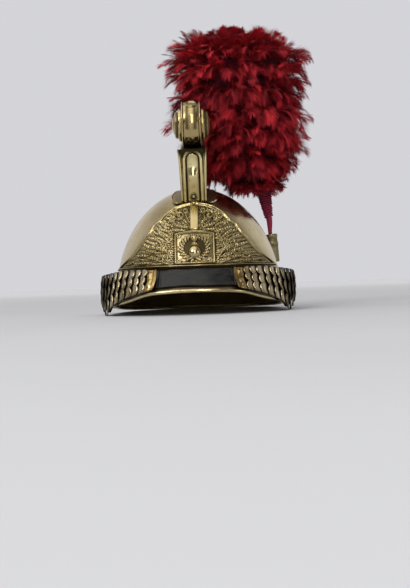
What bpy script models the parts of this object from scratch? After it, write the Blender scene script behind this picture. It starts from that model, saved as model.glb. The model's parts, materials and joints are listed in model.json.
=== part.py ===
"""A brass fire-brigade helmet with a tall crest, a scaled chin strap worn up and a red feather plume.

Sizes are in millimetres and become metres in one place, add_object. The helmet stands on the floor, its
front towards -Y. Its own axis is X = 0, Y = 0, and STAND_SHIFT moves the whole of it over the origin.
"""

import math

import bmesh
import bpy
import numpy as np

MM = 0.001
GAP = 0.3  # between two pieces that touch in the real helmet
STAND_SHIFT = (-12.4, 2.5, 0.0)  # puts the middle of the whole outline over the origin

# Skull: an ellipsoid above SKULL_BASE, with an upright wall below it
SKULL_HALF_WIDTH = 98.5
SKULL_HALF_LENGTH = 120.0
SKULL_BASE = 20.0
SKULL_RISE = 127.0
SHEET = 1.2
SKULL_COLUMNS = 32
SKULL_ROWS = 8
# angle from the front in degrees, height of the skull's lower edge
SKULL_EDGE = ((0, 50), (58, 50), (80, 33), (105, 33), (135, 42), (180, 44))

# Visor and neck guard
VISOR_ANGLE = 77.0
VISOR_COLUMNS = 24
VISOR_ROWS = 3
VISOR_RIM_RADIUS = 1.9
# share of the way from the middle to the ear, then the rim's middle line: turn from the front in degrees,
# how far outside the skull's base, height
VISOR_RIM = (
    (0.0, 0.0, 21.0, 25.5), (0.2, 12.4, 22.6, 24.9), (0.4, 24.4, 23.6, 22.6), (0.55, 33.8, 22.4, 17.6),
    (0.7, 43.6, 20.0, 14.0), (0.85, 58.6, 12.2, 11.0), (1.0, 76.5, 5.3, 9.6),
)
GUARD_COLUMNS = 28
GUARD_ROWS = 4
GUARD_RIM_RADIUS = 2.3
# share of the way from the ear to the middle of the back, then turn, outside the skull's base, height
GUARD_RIM = (
    (0.0, 78.8, 4.4, 9.4), (0.15, 91.9, 3.6, 8.0), (0.32, 109.6, 6.4, 5.6), (0.5, 128.0, 11.2, 3.7),
    (0.68, 146.6, 13.9, 2.62), (0.84, 163.7, 15.8, 2.32), (1.0, 180.0, 15.5, 2.32),
)

# Front plate: height on the skull, how far round it reaches each way in degrees
PLATE_OUTLINE = (
    (50.0, 70.1), (65, 50.4), (83, 40.0), (97, 34.2), (102, 31.7), (105, 29.5), (109, 27.1), (114, 22.2),
    (118, 15.7), (120, 9.5), (121, 3.8),
)
PLATE_HEIGHTS = (
    50.0, 51.6, 53.2, 54.8, 58, 61.5, 65, 68.5, 72, 75.5, 79, 82.5, 85.4, 87.6, 91, 95, 99.5, 104, 108.5,
    112.5, 116, 118.6, 120.2, 121,
)
PLATE_INNER_COLUMNS = (0.0, 3.4, 6.8, 10.2, 14.0, 18.9, 20.8)
PLATE_OUTER_COLUMNS = 8
PLATE_SHEET = 0.9
PLATE_STAND = 1.5  # its back clears the skull's facets
SEAM = 0.9  # between the skull's edge and the sheets below it
PLATE_BORDER = 3.0
TABLET_HALF_WIDTH = 20.8
TABLET_BOTTOM = 53.0
TABLET_TOP = 85.6
TABLET_FRAME = 2.0
WREATH_HEIGHT = 71.5
WREATH_RADIUS = 14.5
BALL_HEIGHT = 66.0
BALL_RADIUS = 6.9

# Crest: its front plate starts this far above the stamped plate and this far ahead of the skull
CREST_CLEARANCE = 3.2
CREST_STAND = 2.6
# under the scroll: foot behind the front plate, top from the scroll's middle (y, z), half widths below and above
CREST_UNDER_SCROLL = (
    (2.0, -19.6, -31.0, 14.0, 15.6), (10.2, -6.0, -25.9, 14.0, 15.8), (14.2, 6.0, -25.7, 14.0, 15.6),
    (20.7, 17.0, -23.0, 14.0, 15.0), (28.2, 28.5, -7.5, 13.8, 13.6),
)
# behind the scroll: foot as a share of the way back to the comb's end, top behind and above its foot, half widths
CREST_BEHIND = (
    (0.269, 2.0, 59.4, 13.4, 12.2), (0.388, 6.0, 48.4, 12.8, 10.8), (0.524, 8.0, 34.9, 12.0, 9.4),
    (0.667, 9.0, 20.2, 11.0, 8.0), (0.804, 9.0, 7.0, 9.6, 6.4), (0.923, 7.0, -0.9, 8.0, 5.0),
    (1.0, 6.0, -7.1, 6.4, 4.0),
)
CREST_END = 23.0  # from the skull's back to the comb's last foot
CREST_FOOT_STAND = 1.3
FLANGE_WIDTH = 3.6
LOBE_WIDTH = 8.6  # beyond the flange
LOBE_HALF_LENGTH = 17.0
LOBE_BEHIND = 23.2  # its middle, behind the front plate
CREST_SHEET = 1.0
# crest's front plate: height above its foot, how far it leans ahead, half width
FRONT_PLATE_LINE = ((0.0, 0.0, 14.2), (15.8, 6.0, 14.2), (35.8, 12.0, 14.8), (56.6, 16.8, 16.3))
ARCH_HALF_WIDTH = 6.4
ARCH_RISE = 51.8
ROSETTE_RISE = 5.4

# Scroll on top of the crest
# behind and above the foot of the crest's front plate
SCROLL_BEHIND = 5.2
SCROLL_ABOVE = 87.8
SCROLL_RADIUS = 26.0
SCROLL_HALF_WIDTH = 10.6
DISC_RADIUS = 18.2
DISC_REACH = 21.9

# Chin strap worn up: length along it from the front end, then its bottom and its top edge, each as the turn
# from the front in degrees, how far outside the skull's base, height
STRAP_PATH = (
    (0, 20.9, 25.8, 25.8, 23.2, 8.1, 48.6), (22, 29.5, 25.6, 21.6, 32.3, 9.6, 49.0),
    (44, 39.3, 24.8, 16.2, 42.4, 10.9, 49.4), (68, 49.4, 23.4, 8.0, 51.9, 13.0, 48.8),
    (86, 57.0, 20.6, -1.05, 59.2, 14.6, 47.9), (92, 59.5, 19.6, 0.0, 61.7, 15.1, 47.6),
    (114, 68.6, 17.1, 7.0, 69.8, 15.7, 46.4), (135, 77.3, 14.0, 11.5, 77.7, 13.6, 45.2),
    (158, 85.8, 11.4, 14.5, 85.8, 11.4, 44.0),
)
LEATHER = 2.0
SCALES = 12
SCALE_LENGTH = 14.0
SCALE_SHEET = 0.8
SCALE_LOBES = 3
STRAP_HALF_SPAN = (0.36, 0.38)  # shares of the visor's width that the leather covers, left and right
BOSS_MIDDLE = (5.8, 24.0)
BOSS_RADIUS = 15.0
BOSS_STAND = 7.9  # its back clears the rims beside it

# Plume holder and plume
PLUME_Y = 40.0
SOCKET_STAND = 12.5  # from the skull to the socket's axis, at the bracket's height
SOCKET_BOTTOM = (2.0, 57.0)  # further out than that, height
SOCKET_TOP = (-1.1, 92.0)
SOCKET_RADIUS = 7.4
SOCKET_BORE = (4.6, 18.0)  # radius, depth
BRACKET = (75.0, 83.0, 4.0)  # lowest and highest, half width
# in the socket: height, radius, x from its axis
STEM_LOW = ((74.6, 2.2, 0.0), (93.0, 2.4, -1.2))
# under the thread: height below it, radius, x from it
STEM_HIGH = ((4.7, 3.7, 0.7), (0.4, 4.0, 0.2))
WINDING_BOTTOM = (89.7, 114.0, 5.6)
WINDING_TOP = (84.0, 151.0, 10.4)
WINDING_TURNS = 9
PLUME_HEIGHT = 201.3  # of the feathers, above the thread
PLUME_CLEARANCE = 1.7  # between the thread and the feathers
# share of that height, middle beside the thread's top, half width, middle behind it, half depth
PLUME_ROWS = (
    (0.0, -1, 11, 2, 11), (0.031, -15, 29, 4, 27), (0.076, -21, 37, 7, 34), (0.155, -22, 45, 8, 41),
    (0.245, -22, 56, 6, 49), (0.344, -22, 64, 2, 54), (0.449, -27, 68, 0, 56), (0.543, -30, 68, 0, 55),
    (0.642, -27, 70, 0, 54), (0.732, -29, 75, 0, 52), (0.811, -30, 76, 0, 47), (0.881, -33, 63, 0, 39),
    (0.935, -38, 42, 0, 28), (0.98, -38, 22, 0, 15), (1.0, -34, 7, 0, 6),
)
PLUME_COLUMNS = 21
PLUME_LEVELS = 24
LOCK_LENGTH = (5.0, 12.0)
LOCK_FADE = 0.07  # share of the height over which the locks shorten towards each end


def curve(table, key):
    """Values of a table with its keys in the first column, eased through the rows between them."""
    table = np.asarray(table, float)
    keys = table[:, 0]
    values = table[:, 1:]
    slopes = np.gradient(values, keys, axis=0)
    key = np.clip(key, keys[0], keys[-1])
    i = int(np.clip(np.searchsorted(keys, key) - 1, 0, len(keys) - 2))
    step = keys[i + 1] - keys[i]
    t = (key - keys[i]) / step
    return (
        values[i] * (2 * t**3 - 3 * t**2 + 1)
        + slopes[i] * step * (t**3 - 2 * t**2 + t)
        + values[i + 1] * (3 * t**2 - 2 * t**3)
        + slopes[i + 1] * step * (t**3 - t**2)
    )


def unit(vector):
    """The vector at length one."""
    return np.asarray(vector, float) / np.linalg.norm(vector)


def skull_point(angle, height, out=0.0):
    """A point outside the skull's outer face by out, at an angle from the front in degrees."""
    rise = max(height - SKULL_BASE, 0.0)
    share = math.sqrt(max(1 - (rise / SKULL_RISE) ** 2, 0.0))
    turn = math.radians(angle)
    x = SKULL_HALF_WIDTH * share * math.sin(turn)
    y = -SKULL_HALF_LENGTH * share * math.cos(turn)
    normal = unit((x / SKULL_HALF_WIDTH**2, y / SKULL_HALF_LENGTH**2, rise / SKULL_RISE**2))
    return np.array((x, y, height)) + normal * out


def skull_half_width(height):
    """Half the skull's width at a height above its base."""
    return SKULL_HALF_WIDTH * math.sqrt(1 - ((height - SKULL_BASE) / SKULL_RISE) ** 2)


def beside(turn, out):
    """A place in plan, outside the skull's base wall by out, at a turn from the front in degrees."""
    x, y, _ = skull_point(turn, SKULL_BASE, out)
    return x, y


def skull_side(y, height):
    """How far the skull reaches to the side at a place along it and a height."""
    level = 1 - ((height - SKULL_BASE) / SKULL_RISE) ** 2 - (y / SKULL_HALF_LENGTH) ** 2
    return SKULL_HALF_WIDTH * math.sqrt(level)


def skull_at_x(x, height, out=0.0):
    """The same point on the front half, found from its x."""
    return skull_point(math.degrees(math.asin(x / skull_half_width(height))), height, out)


def skull_above(x, y, out=0.0):
    """The same, found from its place in plan."""
    inside = max(1 - (x / SKULL_HALF_WIDTH) ** 2 - (y / SKULL_HALF_LENGTH) ** 2, 0.0)
    rise = SKULL_RISE * math.sqrt(inside)
    normal = unit((x / SKULL_HALF_WIDTH**2, y / SKULL_HALF_LENGTH**2, rise / SKULL_RISE**2))
    return np.array((x, y, SKULL_BASE + rise)) + normal * out


def skull_edge(angle):
    """Height of the skull's lower edge."""
    return np.interp(abs((angle + 180) % 360 - 180), *np.array(SKULL_EDGE, float).T)


def quads(rows, columns, start, wrap):
    """Faces between neighbouring points of a grid that starts at a given number."""
    spans = columns if wrap else columns - 1
    found = []
    for r in range(rows - 1):
        for c in range(spans):
            d = (c + 1) % columns
            low = start + r * columns
            found.append((low + c, low + d, low + columns + d, low + columns + c))
    return found


def shell(outer, inner, wrap=False, capped=False):
    """Points and faces of a closed sheet between two grids of the same shape."""
    outer = np.asarray(outer, float)
    inner = np.asarray(inner, float)
    rows, columns = outer.shape[:2]
    half = rows * columns
    faces = quads(rows, columns, 0, wrap) + [f[::-1] for f in quads(rows, columns, half, wrap)]
    bottom = list(range(columns))
    top = [(rows - 1) * columns + c for c in range(columns)]
    loops = [bottom] if capped else [bottom, top]
    for loop in loops:
        ends = zip(loop, loop[1:] + loop[:1]) if wrap else zip(loop, loop[1:])
        faces += [(a, b, half + b, half + a) for a, b in ends]
    if capped:
        faces += [tuple(top), tuple(half + c for c in top)]
    if not wrap:
        for side in (0, columns - 1):
            line = [r * columns + side for r in range(rows)]
            faces += [(a, b, half + b, half + a) for a, b in zip(line, line[1:])]
    return np.concatenate([outer.reshape(-1, 3), inner.reshape(-1, 3)]), faces


def stitch(line, other, points):
    """Triangles between two lines of points that run beside each other, with different counts."""

    def shares(chain):
        steps = np.linalg.norm(np.diff(points[chain], axis=0), axis=1)
        return np.concatenate([[0], np.cumsum(steps)]) / steps.sum()

    first = shares(line)
    second = shares(other)
    i = j = 0
    found = []
    while i < len(line) - 1 or j < len(other) - 1:
        on_first = j == len(other) - 1 or (i < len(line) - 1 and first[i + 1] <= second[j + 1])
        if on_first:
            found.append((line[i], line[i + 1], other[j]))
            i += 1
        else:
            found.append((line[i], other[j + 1], other[j]))
            j += 1
    return found


def fine_and_coarse(outer, inner):
    """A closed sheet whose two grids have different counts, joined along their four sides."""
    outer = np.asarray(outer, float)
    inner = np.asarray(inner, float)
    points = np.concatenate([outer.reshape(-1, 3), inner.reshape(-1, 3)])
    sides = []
    faces = []
    start = 0
    for grid in (outer, inner):
        rows, columns = grid.shape[:2]
        number = np.arange(rows * columns).reshape(rows, columns) + start
        sides.append((number[0], number[-1], number[:, 0], number[:, -1]))
        faces += quads(rows, columns, start, False)
        start += rows * columns
    for line, other in zip(*sides):
        faces += stitch(list(line), list(other), points)
    return points, faces


def tube(path, radii, sides, upright=(0, 0, 1)):
    """A closed tube along a path, with flat ends. Its lowest side lies level where the path does."""
    path = np.asarray(path, float)
    radii = np.broadcast_to(radii, len(path))
    along = np.gradient(path, axis=0)
    rings = []
    for point, ahead, radius in zip(path, along, radii):
        across = unit(np.cross(ahead, upright))
        up = unit(np.cross(across, ahead))
        turns = (np.arange(sides) + 0.5) * 2 * math.pi / sides
        rings.append([point + radius * (math.cos(a) * across + math.sin(a) * up) for a in turns])
    points = np.array(rings).reshape(-1, 3)
    faces = quads(len(path), sides, 0, True)
    last = (len(path) - 1) * sides
    return points, faces + [tuple(range(sides)), tuple(last + s for s in range(sides))]


def lathe(profile, origin, axis, sides, loop=False):
    """A turned solid: profile is radius and distance along the axis. A loop has a hole down the middle."""
    axis = unit(axis)
    across = unit(np.cross(axis, (0.3, 0.9, 0.2)))
    other = np.cross(axis, across)
    rings = []
    for radius, along in profile:
        turns = np.arange(sides) * 2 * math.pi / sides
        radius = max(radius, 0.05)
        middle = np.asarray(origin, float) + axis * along
        rings.append([middle + radius * (math.cos(a) * across + math.sin(a) * other) for a in turns])
    points = np.array(rings).reshape(-1, 3)
    faces = quads(len(profile), sides, 0, True)
    last = (len(profile) - 1) * sides
    if loop:
        faces += [(last + s, last + (s + 1) % sides, (s + 1) % sides, s) for s in range(sides)]
    else:
        faces += [tuple(range(sides)), tuple(last + s for s in range(sides))]
    return points, faces


def material(name, colour, metallic, roughness):
    """A plain material with one Principled shader."""
    made = bpy.data.materials.new(name)
    made.use_nodes = True
    shader = made.node_tree.nodes["Principled BSDF"]
    shader.inputs["Base Color"].default_value = (*colour, 1.0)
    shader.inputs["Metallic"].default_value = metallic
    shader.inputs["Roughness"].default_value = roughness
    return made


def add_object(name, mesh_data, finish, smooth=True, mirrored=False):
    """Makes one solid from points in millimetres and faces, facing out, with its finish."""
    points, faces = mesh_data
    scale = np.array((-MM if mirrored else MM, MM, MM))
    placed = np.asarray(points, float) * scale + np.array(STAND_SHIFT) * MM
    mesh = bpy.data.meshes.new(name)
    mesh.from_pydata([tuple(p) for p in placed], [], [tuple(int(i) for i in f) for f in faces])
    work = bmesh.new()
    work.from_mesh(mesh)
    bmesh.ops.recalc_face_normals(work, faces=work.faces)
    if work.calc_volume(signed=True) < 0:
        bmesh.ops.reverse_faces(work, faces=work.faces)
    work.to_mesh(mesh)
    work.free()
    mesh.materials.append(finish)
    if smooth:
        mesh.shade_smooth()
        mesh.set_sharp_from_angle(angle=math.radians(40))
    made = bpy.data.objects.new(name, mesh)
    bpy.context.scene.collection.objects.link(made)
    return made


def build_bombe(finish):
    """The skull, one thin sheet open below."""
    angles = [c * 360 / SKULL_COLUMNS for c in range(SKULL_COLUMNS)]
    grids = []
    for out in (0.0, -SHEET):
        grid = []
        for r in range(SKULL_ROWS + 1):
            share = math.sin(r / SKULL_ROWS * math.pi / 2 * 0.94)
            row = []
            for angle in angles:
                edge = skull_edge(angle)
                height = edge + (SKULL_BASE + SKULL_RISE - edge) * share
                row.append(skull_point(angle, height, out))
            grid.append(row)
        grids.append(grid)
    return add_object("bombe", shell(*grids, wrap=True, capped=True), finish)


def visor_rim_point(share):
    """The visor's rim, from -1 at the wearer's right ear to 1 at the left."""
    turn, out, z = curve(VISOR_RIM, abs(share))
    x, y = beside(turn, out)
    return np.array((math.copysign(x, share), y, z))


def visor_point(share, down, out=0.0):
    """A point outside the visor's outer face, from the skull's edge (0) down to the rim (1)."""

    def on_face(share, down):
        angle = VISOR_ANGLE * share
        seam = skull_point(angle, skull_edge(angle) - SEAM)
        rim = visor_rim_point(share)
        middle = (seam + rim) / 2 + np.array((0, 0, -1.6))
        return seam * (1 - down) ** 2 + 2 * middle * down * (1 - down) + rim * down**2

    here = on_face(share, down)
    step = 0.02
    normal = np.cross(
        on_face(share + step, down) - on_face(share - step, down),
        on_face(share, down - step) - on_face(share, down + step),
    )
    return here + unit(normal) * out


def build_visor(finish, rim_finish):
    """The visor, which ends just short of its own rolled rim."""
    shares = np.linspace(-1, 1, VISOR_COLUMNS + 1)
    grids = []
    for out in (0.0, -SHEET):
        grid = []
        for r in range(VISOR_ROWS + 1):
            row = []
            for share in shares:
                reach = np.linalg.norm(visor_rim_point(share) - visor_point(share, 0))
                down = r / VISOR_ROWS * (1 - (VISOR_RIM_RADIUS + 2 * GAP) / reach)
                row.append(visor_point(share, down, out))
            grid.append(row)
        grids.append(grid)
    add_object("visor", shell(*grids), finish)
    path = [visor_rim_point(s) for s in shares]
    add_object("visor_rim", tube(path, VISOR_RIM_RADIUS, 8), rim_finish)


def guard_rim_point(turn):
    """The neck guard's rim, from -1 at the wearer's right ear round the back to 1 at the left."""
    angle, out, z = curve(GUARD_RIM, 1 - abs(turn))
    x, y = beside(angle, out)
    return np.array((math.copysign(x, turn), y, z))


def build_guard(finish, rim_finish):
    """The neck guard, from ear to ear round the back, flaring out to its rolled rim on the floor."""
    turns = np.linspace(-1, 1, GUARD_COLUMNS + 1)
    first = VISOR_ANGLE + 0.5
    grids = []
    for out in (0.0, -SHEET):
        grid = []
        for r in range(GUARD_ROWS + 1):
            row = []
            for turn in turns:
                angle = math.copysign(180 - (180 - first) * abs(turn), turn)
                top = skull_edge(angle) - SEAM
                seam = skull_point(angle, top)
                rim = guard_rim_point(turn)
                reach = np.linalg.norm(rim - seam)
                down = r / GUARD_ROWS * (1 - (GUARD_RIM_RADIUS + 1.2) / reach)
                bend = skull_point(angle, rim[2] + 0.35 * (top - rim[2]))
                point = seam * (1 - down) ** 2 + 2 * bend * down * (1 - down) + rim * down**2
                inward = unit(np.array((point[0], point[1], 0.0)))
                row.append(point + inward * out)
            grid.append(row)
        grids.append(grid)
    add_object("neck_guard", shell(*grids), finish)
    path = [guard_rim_point(t) for t in turns]
    radius = GUARD_RIM_RADIUS / math.cos(math.pi / 8)
    add_object("guard_rim", tube(path, radius, 8), rim_finish)


def plate_half_width(height):
    """Half the width of the front plate at a height."""
    turn = np.interp(height, *np.array(PLATE_OUTLINE, float).T)
    return skull_half_width(height) * math.sin(math.radians(turn))


def plate_relief(x, height, share):
    """How far the stamping stands out: border, tablet with wreath, ball and flame, leaves and rays."""
    half = plate_half_width(height)
    rise = 0.0
    if abs(x) <= TABLET_HALF_WIDTH and TABLET_BOTTOM <= height <= TABLET_TOP + 2.2:
        inset = min(TABLET_HALF_WIDTH - abs(x), height - TABLET_BOTTOM, TABLET_TOP + 2.2 - height)
        rise = 1.5 if inset < TABLET_FRAME else 0.7
        ring = math.hypot(x, height - WREATH_HEIGHT)
        rise += 0.9 * math.exp(-(((ring - WREATH_RADIUS) / 2.2) ** 2))
        ball = BALL_RADIUS**2 - x**2 - (height - BALL_HEIGHT) ** 2
        rise += 0.5 * math.sqrt(max(ball, 0.0))
        flame = 2.0 + 0.45 * abs(height - 75.5)
        if 72 < height < 84:
            rise += 1.3 * math.exp(-((x / flame) ** 2))
        return rise
    from_middle = math.atan2(height - 66, abs(x))
    distance = math.hypot(x, height - 66)
    rise += 0.45 * (1 + math.sin(from_middle * 26 + distance * 0.05))
    if distance < 42:
        rise += 0.7 * max(math.sin(x * 0.55) * math.sin(height * 0.5), 0.0)
    if abs(x) < 4.5 and height > 88:
        rise = 1.3
    border = min((1 - abs(share)) * half * 0.8, height - PLATE_HEIGHTS[0], (PLATE_HEIGHTS[-1] - height) * 1.4)
    if border < PLATE_BORDER:
        rise = 1.6
    return rise


def build_plate(finish):
    """The stamped front plate, bent to the skull."""
    inner_half = TABLET_HALF_WIDTH
    grids = []
    for coarse in (False, True):
        heights = PLATE_HEIGHTS[::3] + PLATE_HEIGHTS[-1:] if coarse else PLATE_HEIGHTS
        grid = []
        for height in heights:
            half = plate_half_width(height)
            core = min(inner_half, half * 0.72)
            right = [core * c / inner_half for c in PLATE_INNER_COLUMNS]
            reach = skull_half_width(height)
            turns = np.linspace(math.asin(core / reach), math.asin(half / reach), PLATE_OUTER_COLUMNS + 1)
            right += [reach * math.sin(turn) for turn in turns[1:]]
            line = [-x for x in right[:0:-1]] + right
            line = line[::2] if coarse else line
            row = []
            for x in line:
                raised = PLATE_SHEET + plate_relief(x, height, x / half)
                out = PLATE_STAND if coarse else PLATE_STAND + raised
                row.append(skull_at_x(x, height, out))
            grid.append(row)
        grids.append(grid)
    add_object("front_plate", fine_and_coarse(*grids), finish)
    stud = skull_at_x(0.0, PLATE_HEIGHTS[-1] - 1, 3.0) + np.array((0, -4.2, 0.0))
    profile = [(0, -1.2), (1.8, -0.8), (1.8, 0.8), (0, 1.6)]
    add_object("front_stud", lathe(profile, stud, (0, -0.9, 0.4), 8), finish)


def crest_front():
    """Where the foot of the crest's front plate stands: its y and its height."""
    foot = PLATE_HEIGHTS[-1] + CREST_CLEARANCE
    return skull_point(0, foot)[1] - CREST_STAND, foot


def crest_foot(half, y):
    """Height of the comb's foot on the skull."""
    return skull_above(half, y)[2] + CREST_FOOT_STAND


def crest_stations():
    """The comb's arches: foot y, top y, top height, half width at the foot and at the top."""
    front, foot = crest_front()
    found = []
    for behind, y, z, half_low, half_high in CREST_UNDER_SCROLL:
        found.append((front + behind, front + SCROLL_BEHIND + y, foot + SCROLL_ABOVE + z, half_low, half_high))
    end = SKULL_HALF_LENGTH - CREST_END
    for share, lean, tall, half_low, half_high in CREST_BEHIND:
        y = front + (end - front) * share
        found.append((y, y + lean, crest_foot(half_low, y) + tall, half_low, half_high))
    return found


def crest_section(station, side_in):
    """One arch of the comb, from its left foot over the top to its right foot."""
    foot_y, top_y, top_z, foot_half, top_half = station
    half_low = foot_half - side_in
    half_high = top_half - side_in
    roof = top_z - side_in
    left = []
    for share in (0.0, 0.3, 0.65, 0.9):
        half = half_low + (half_high - half_low) * share
        y = foot_y + (top_y - foot_y) * share
        base = crest_foot(half_low, foot_y)
        left.append((half, y, base + (roof - base) * share))
    drop = 0.02 * max(roof - base, 0.0)
    crown = [(half_high * 0.72, top_y, roof - drop), (0.0, top_y, roof)]
    side = left + crown
    return [np.array((-x, y, z)) for x, y, z in side] + [np.array(p) for p in side[-2::-1]]


def build_crest(finish):
    """The hollow comb, open below and in front, and its flanges on the skull."""
    arches = crest_stations()
    grids = [[crest_section(s, inside) for s in arches] for inside in (0.0, CREST_SHEET)]
    add_object("crest_body", shell(*grids), finish)
    front = crest_front()[0]
    keys = [s[0] for s in arches]
    halves = [s[3] for s in arches]
    lobe_y = front + LOBE_BEHIND
    end = SKULL_HALF_LENGTH - CREST_END - 1
    lobe_stations = np.linspace(lobe_y - 1.12 * LOBE_HALF_LENGTH, lobe_y + 1.06 * LOBE_HALF_LENGTH, 10)
    stations = [*lobe_stations, *np.linspace(lobe_stations[-1] + 12, end, 10)]
    for name, mirrored in (("crest_foot_right", True), ("crest_foot_left", False)):
        grids = []
        for out in (GAP + 1.3, GAP + 0.3):
            grid = []
            for y in stations:
                lobe = max(0.0, 1 - ((y - lobe_y) / LOBE_HALF_LENGTH) ** 2) ** 0.5
                width = FLANGE_WIDTH + LOBE_WIDTH * lobe
                start = float(np.interp(y, keys, halves)) + GAP
                grid.append([skull_above(start + width * k / 2, y, out) for k in range(3)])
            grids.append(grid)
        add_object(name, shell(*grids), finish, mirrored=mirrored)


def front_relief(x, rise, half):
    """The crest's front plate: a raised arched panel, a flute each side and a plain border."""
    arch = ARCH_HALF_WIDTH**2 - x**2
    top = ARCH_RISE - ARCH_HALF_WIDTH + math.sqrt(max(arch, 0.0))
    if arch >= 0 and rise < top:
        return 1.0 + 1.4 * math.sqrt(arch) / ARCH_HALF_WIDTH
    if abs(x) < ARCH_HALF_WIDTH + 1.4 and rise < ARCH_RISE + 1.6:
        return 0.2
    if half - abs(x) < 1.8:
        return 1.2
    return 0.5 + 0.9 * abs(math.sin((abs(x) - 7.8) * 0.9))


def build_crest_front(finish):
    """The fluted plate that closes the front of the comb, with its rosette."""
    front, foot = crest_front()
    full = FRONT_PLATE_LINE[-1][0]
    arch = [ARCH_RISE - drop for drop in (12, 7, 4, 1.5, -0.2)]
    rises = [*np.linspace(0, ARCH_RISE - 20, 5), *arch, ARCH_RISE + 1.8, full]
    columns = (0.0, 3.2, 5.4, 6.4, 7.3, 9.2, 11.2, 12.6, 14.2)
    grids = []
    for coarse in (False, True):
        grid = []
        for rise in rises[::3] + rises[-1:] if coarse else rises:
            lean, half = curve(FRONT_PLATE_LINE, rise)
            line = [c if c < 8 else 7.3 + (half - 7.3) * (c - 7.3) / (14.2 - 7.3) for c in columns]
            line = [-x for x in line[:0:-1]] + line
            line = line[::4] if coarse else line
            row = []
            for x in line:
                out = 0.0 if coarse else 0.9 + front_relief(x, rise, half)
                row.append(np.array((x, front - lean + 0.004 * x * x - out, foot + rise)))
            grid.append(row)
        grids.append(grid)
    add_object("crest_front", fine_and_coarse(*grids), finish)
    lean = curve(FRONT_PLATE_LINE, ROSETTE_RISE)[0]
    profile = [(0, 0), (4.4, 0), (4.6, 0.8), (3.0, 1.7), (1.8, 1.2), (1.4, 2.4), (0, 2.8)]
    place = (0, front - lean - 3.9, foot + ROSETTE_RISE)
    add_object("crest_rosette", lathe(profile, place, (0, -1, -0.36), 10), finish)


def build_scroll(finish):
    """The rolled band on top of the crest and the stepped disc on each side of it."""
    front, foot = crest_front()
    middle = (0.0, front + SCROLL_BEHIND, foot + SCROLL_ABOVE)
    outer = SCROLL_RADIUS
    half = SCROLL_HALF_WIDTH
    profile = [
        (13.0, -half), (outer - 0.6, -half), (outer, -half + 2.4), (outer - 0.9, -half + 3.2),
        (outer - 0.9, half - 3.2), (outer, half - 2.4), (outer - 0.6, half), (13.0, half),
        (13.0, half - 1.1), (outer - 2.2, half - 1.1), (outer - 2.2, -half + 1.1), (13.0, -half + 1.1),
    ]
    add_object("crest_scroll_band", lathe(profile, middle, (1, 0, 0), 24, loop=True), finish)
    start = half + GAP
    reach = DISC_REACH
    disc = [
        (DISC_RADIUS, start), (DISC_RADIUS, start + 3.6), (14.8, start + 4.6), (14.4, start + 7.4),
        (10.0, start + 8.6), (5.4, reach), (0, reach - 0.2), (0, reach - 1.4),
        (9.0, start + 7.2), (13.2, start + 6.2), (13.6, start + 3.4), (16.2, start + 2.6),
        (16.2, start),
    ]
    for name, mirrored in (("crest_disc_right", True), ("crest_disc_left", False)):
        made = lathe(disc, middle, (1, 0, 0), 16, loop=True)
        add_object(name, bored(made, 16, 7), finish, mirrored=mirrored)


def bored(mesh_data, sides, outside):
    """Closes the narrow hole that a turned loop leaves on its axis, with one face on each side of the wall."""
    points, faces = mesh_data
    gone = set(range((outside - 1) * sides, (outside + 1) * sides))
    kept = [f for f in faces if not set(f) <= gone]
    outer_cap = tuple((outside - 1) * sides + s for s in range(sides))
    inner_cap = tuple(outside * sides + s for s in range(sides))
    return points, kept + [outer_cap, inner_cap]


def strap_point(length, up, out):
    """A point outside the chin strap's face: along it from its front end, then up across it (0 to 1)."""

    def on_face(length, up):
        low_turn, low_out, low_z, high_turn, high_out, high_z = curve(STRAP_PATH, length)
        low = np.array((*beside(low_turn, low_out), low_z))
        high = np.array((*beside(high_turn, high_out), high_z))
        return low * (1 - up) + high * up

    end = STRAP_PATH[-1][0]
    near = min(max(length, 1.5), end - 1.5)
    ahead = on_face(near + 1, up) - on_face(near - 1, up)
    normal = unit(np.cross(ahead, on_face(near, 1) - on_face(near, 0)))
    start = on_face(length, up)
    if length < 0:
        start = start + unit(ahead) * length
    return start + normal * out


def build_scales(finish):
    """Both runs of overlapping scales, each lobed towards the front, and the plates that end them."""
    for i in range(SCALES):
        free = 9.0 + 9.0 * i + 0.28 * i * i
        grids = []
        for sheet in (SCALE_SHEET, 0.0):
            grid = []
            for k in range(2 * SCALE_LOBES + 1):
                up = k / (2 * SCALE_LOBES)
                notch = 0.0 if k % 2 else 2.4
                bulge = 1.1 * math.sin(math.pi * up)
                row = []
                for share in (0.0, 1.0):
                    length = free + notch + (SCALE_LENGTH - notch) * share
                    out = 0.5 + 2.7 * (1 - share) + bulge * (1 - share) + sheet
                    row.append(strap_point(length, 0.02 + 0.96 * up, out))
                grid.append(row)
            grids.append(grid)
        made = shell(*grids)
        add_object(f"scale_left_{i + 1:02d}", made, finish)
        add_object(f"scale_right_{i + 1:02d}", made, finish, mirrored=True)
    grids = []
    for sheet in (1.0, 0.0):
        grid = []
        for k in range(7):
            up = k / 6
            row = []
            for share in (0.0, 0.33, 0.67, 1.0):
                curl = 2.6 * math.sin(math.pi * share) * math.sin(math.pi * up) ** 0.5
                bumps = 0.8 * math.sin(2 * math.pi * up) ** 2
                edge = 1.6 * math.cos(math.pi * (up - 0.5)) * (1 - share)
                row.append(strap_point(-2.4 - edge + 13.4 * share, 0.03 + 0.92 * up, 0.6 + curl * 0.5 + bumps + sheet))
            grid.append(row)
        grids.append(grid)
    add_object("scale_end_left", shell(*grids), finish)
    add_object("scale_end_right", shell(*grids), finish, mirrored=True)


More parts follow.
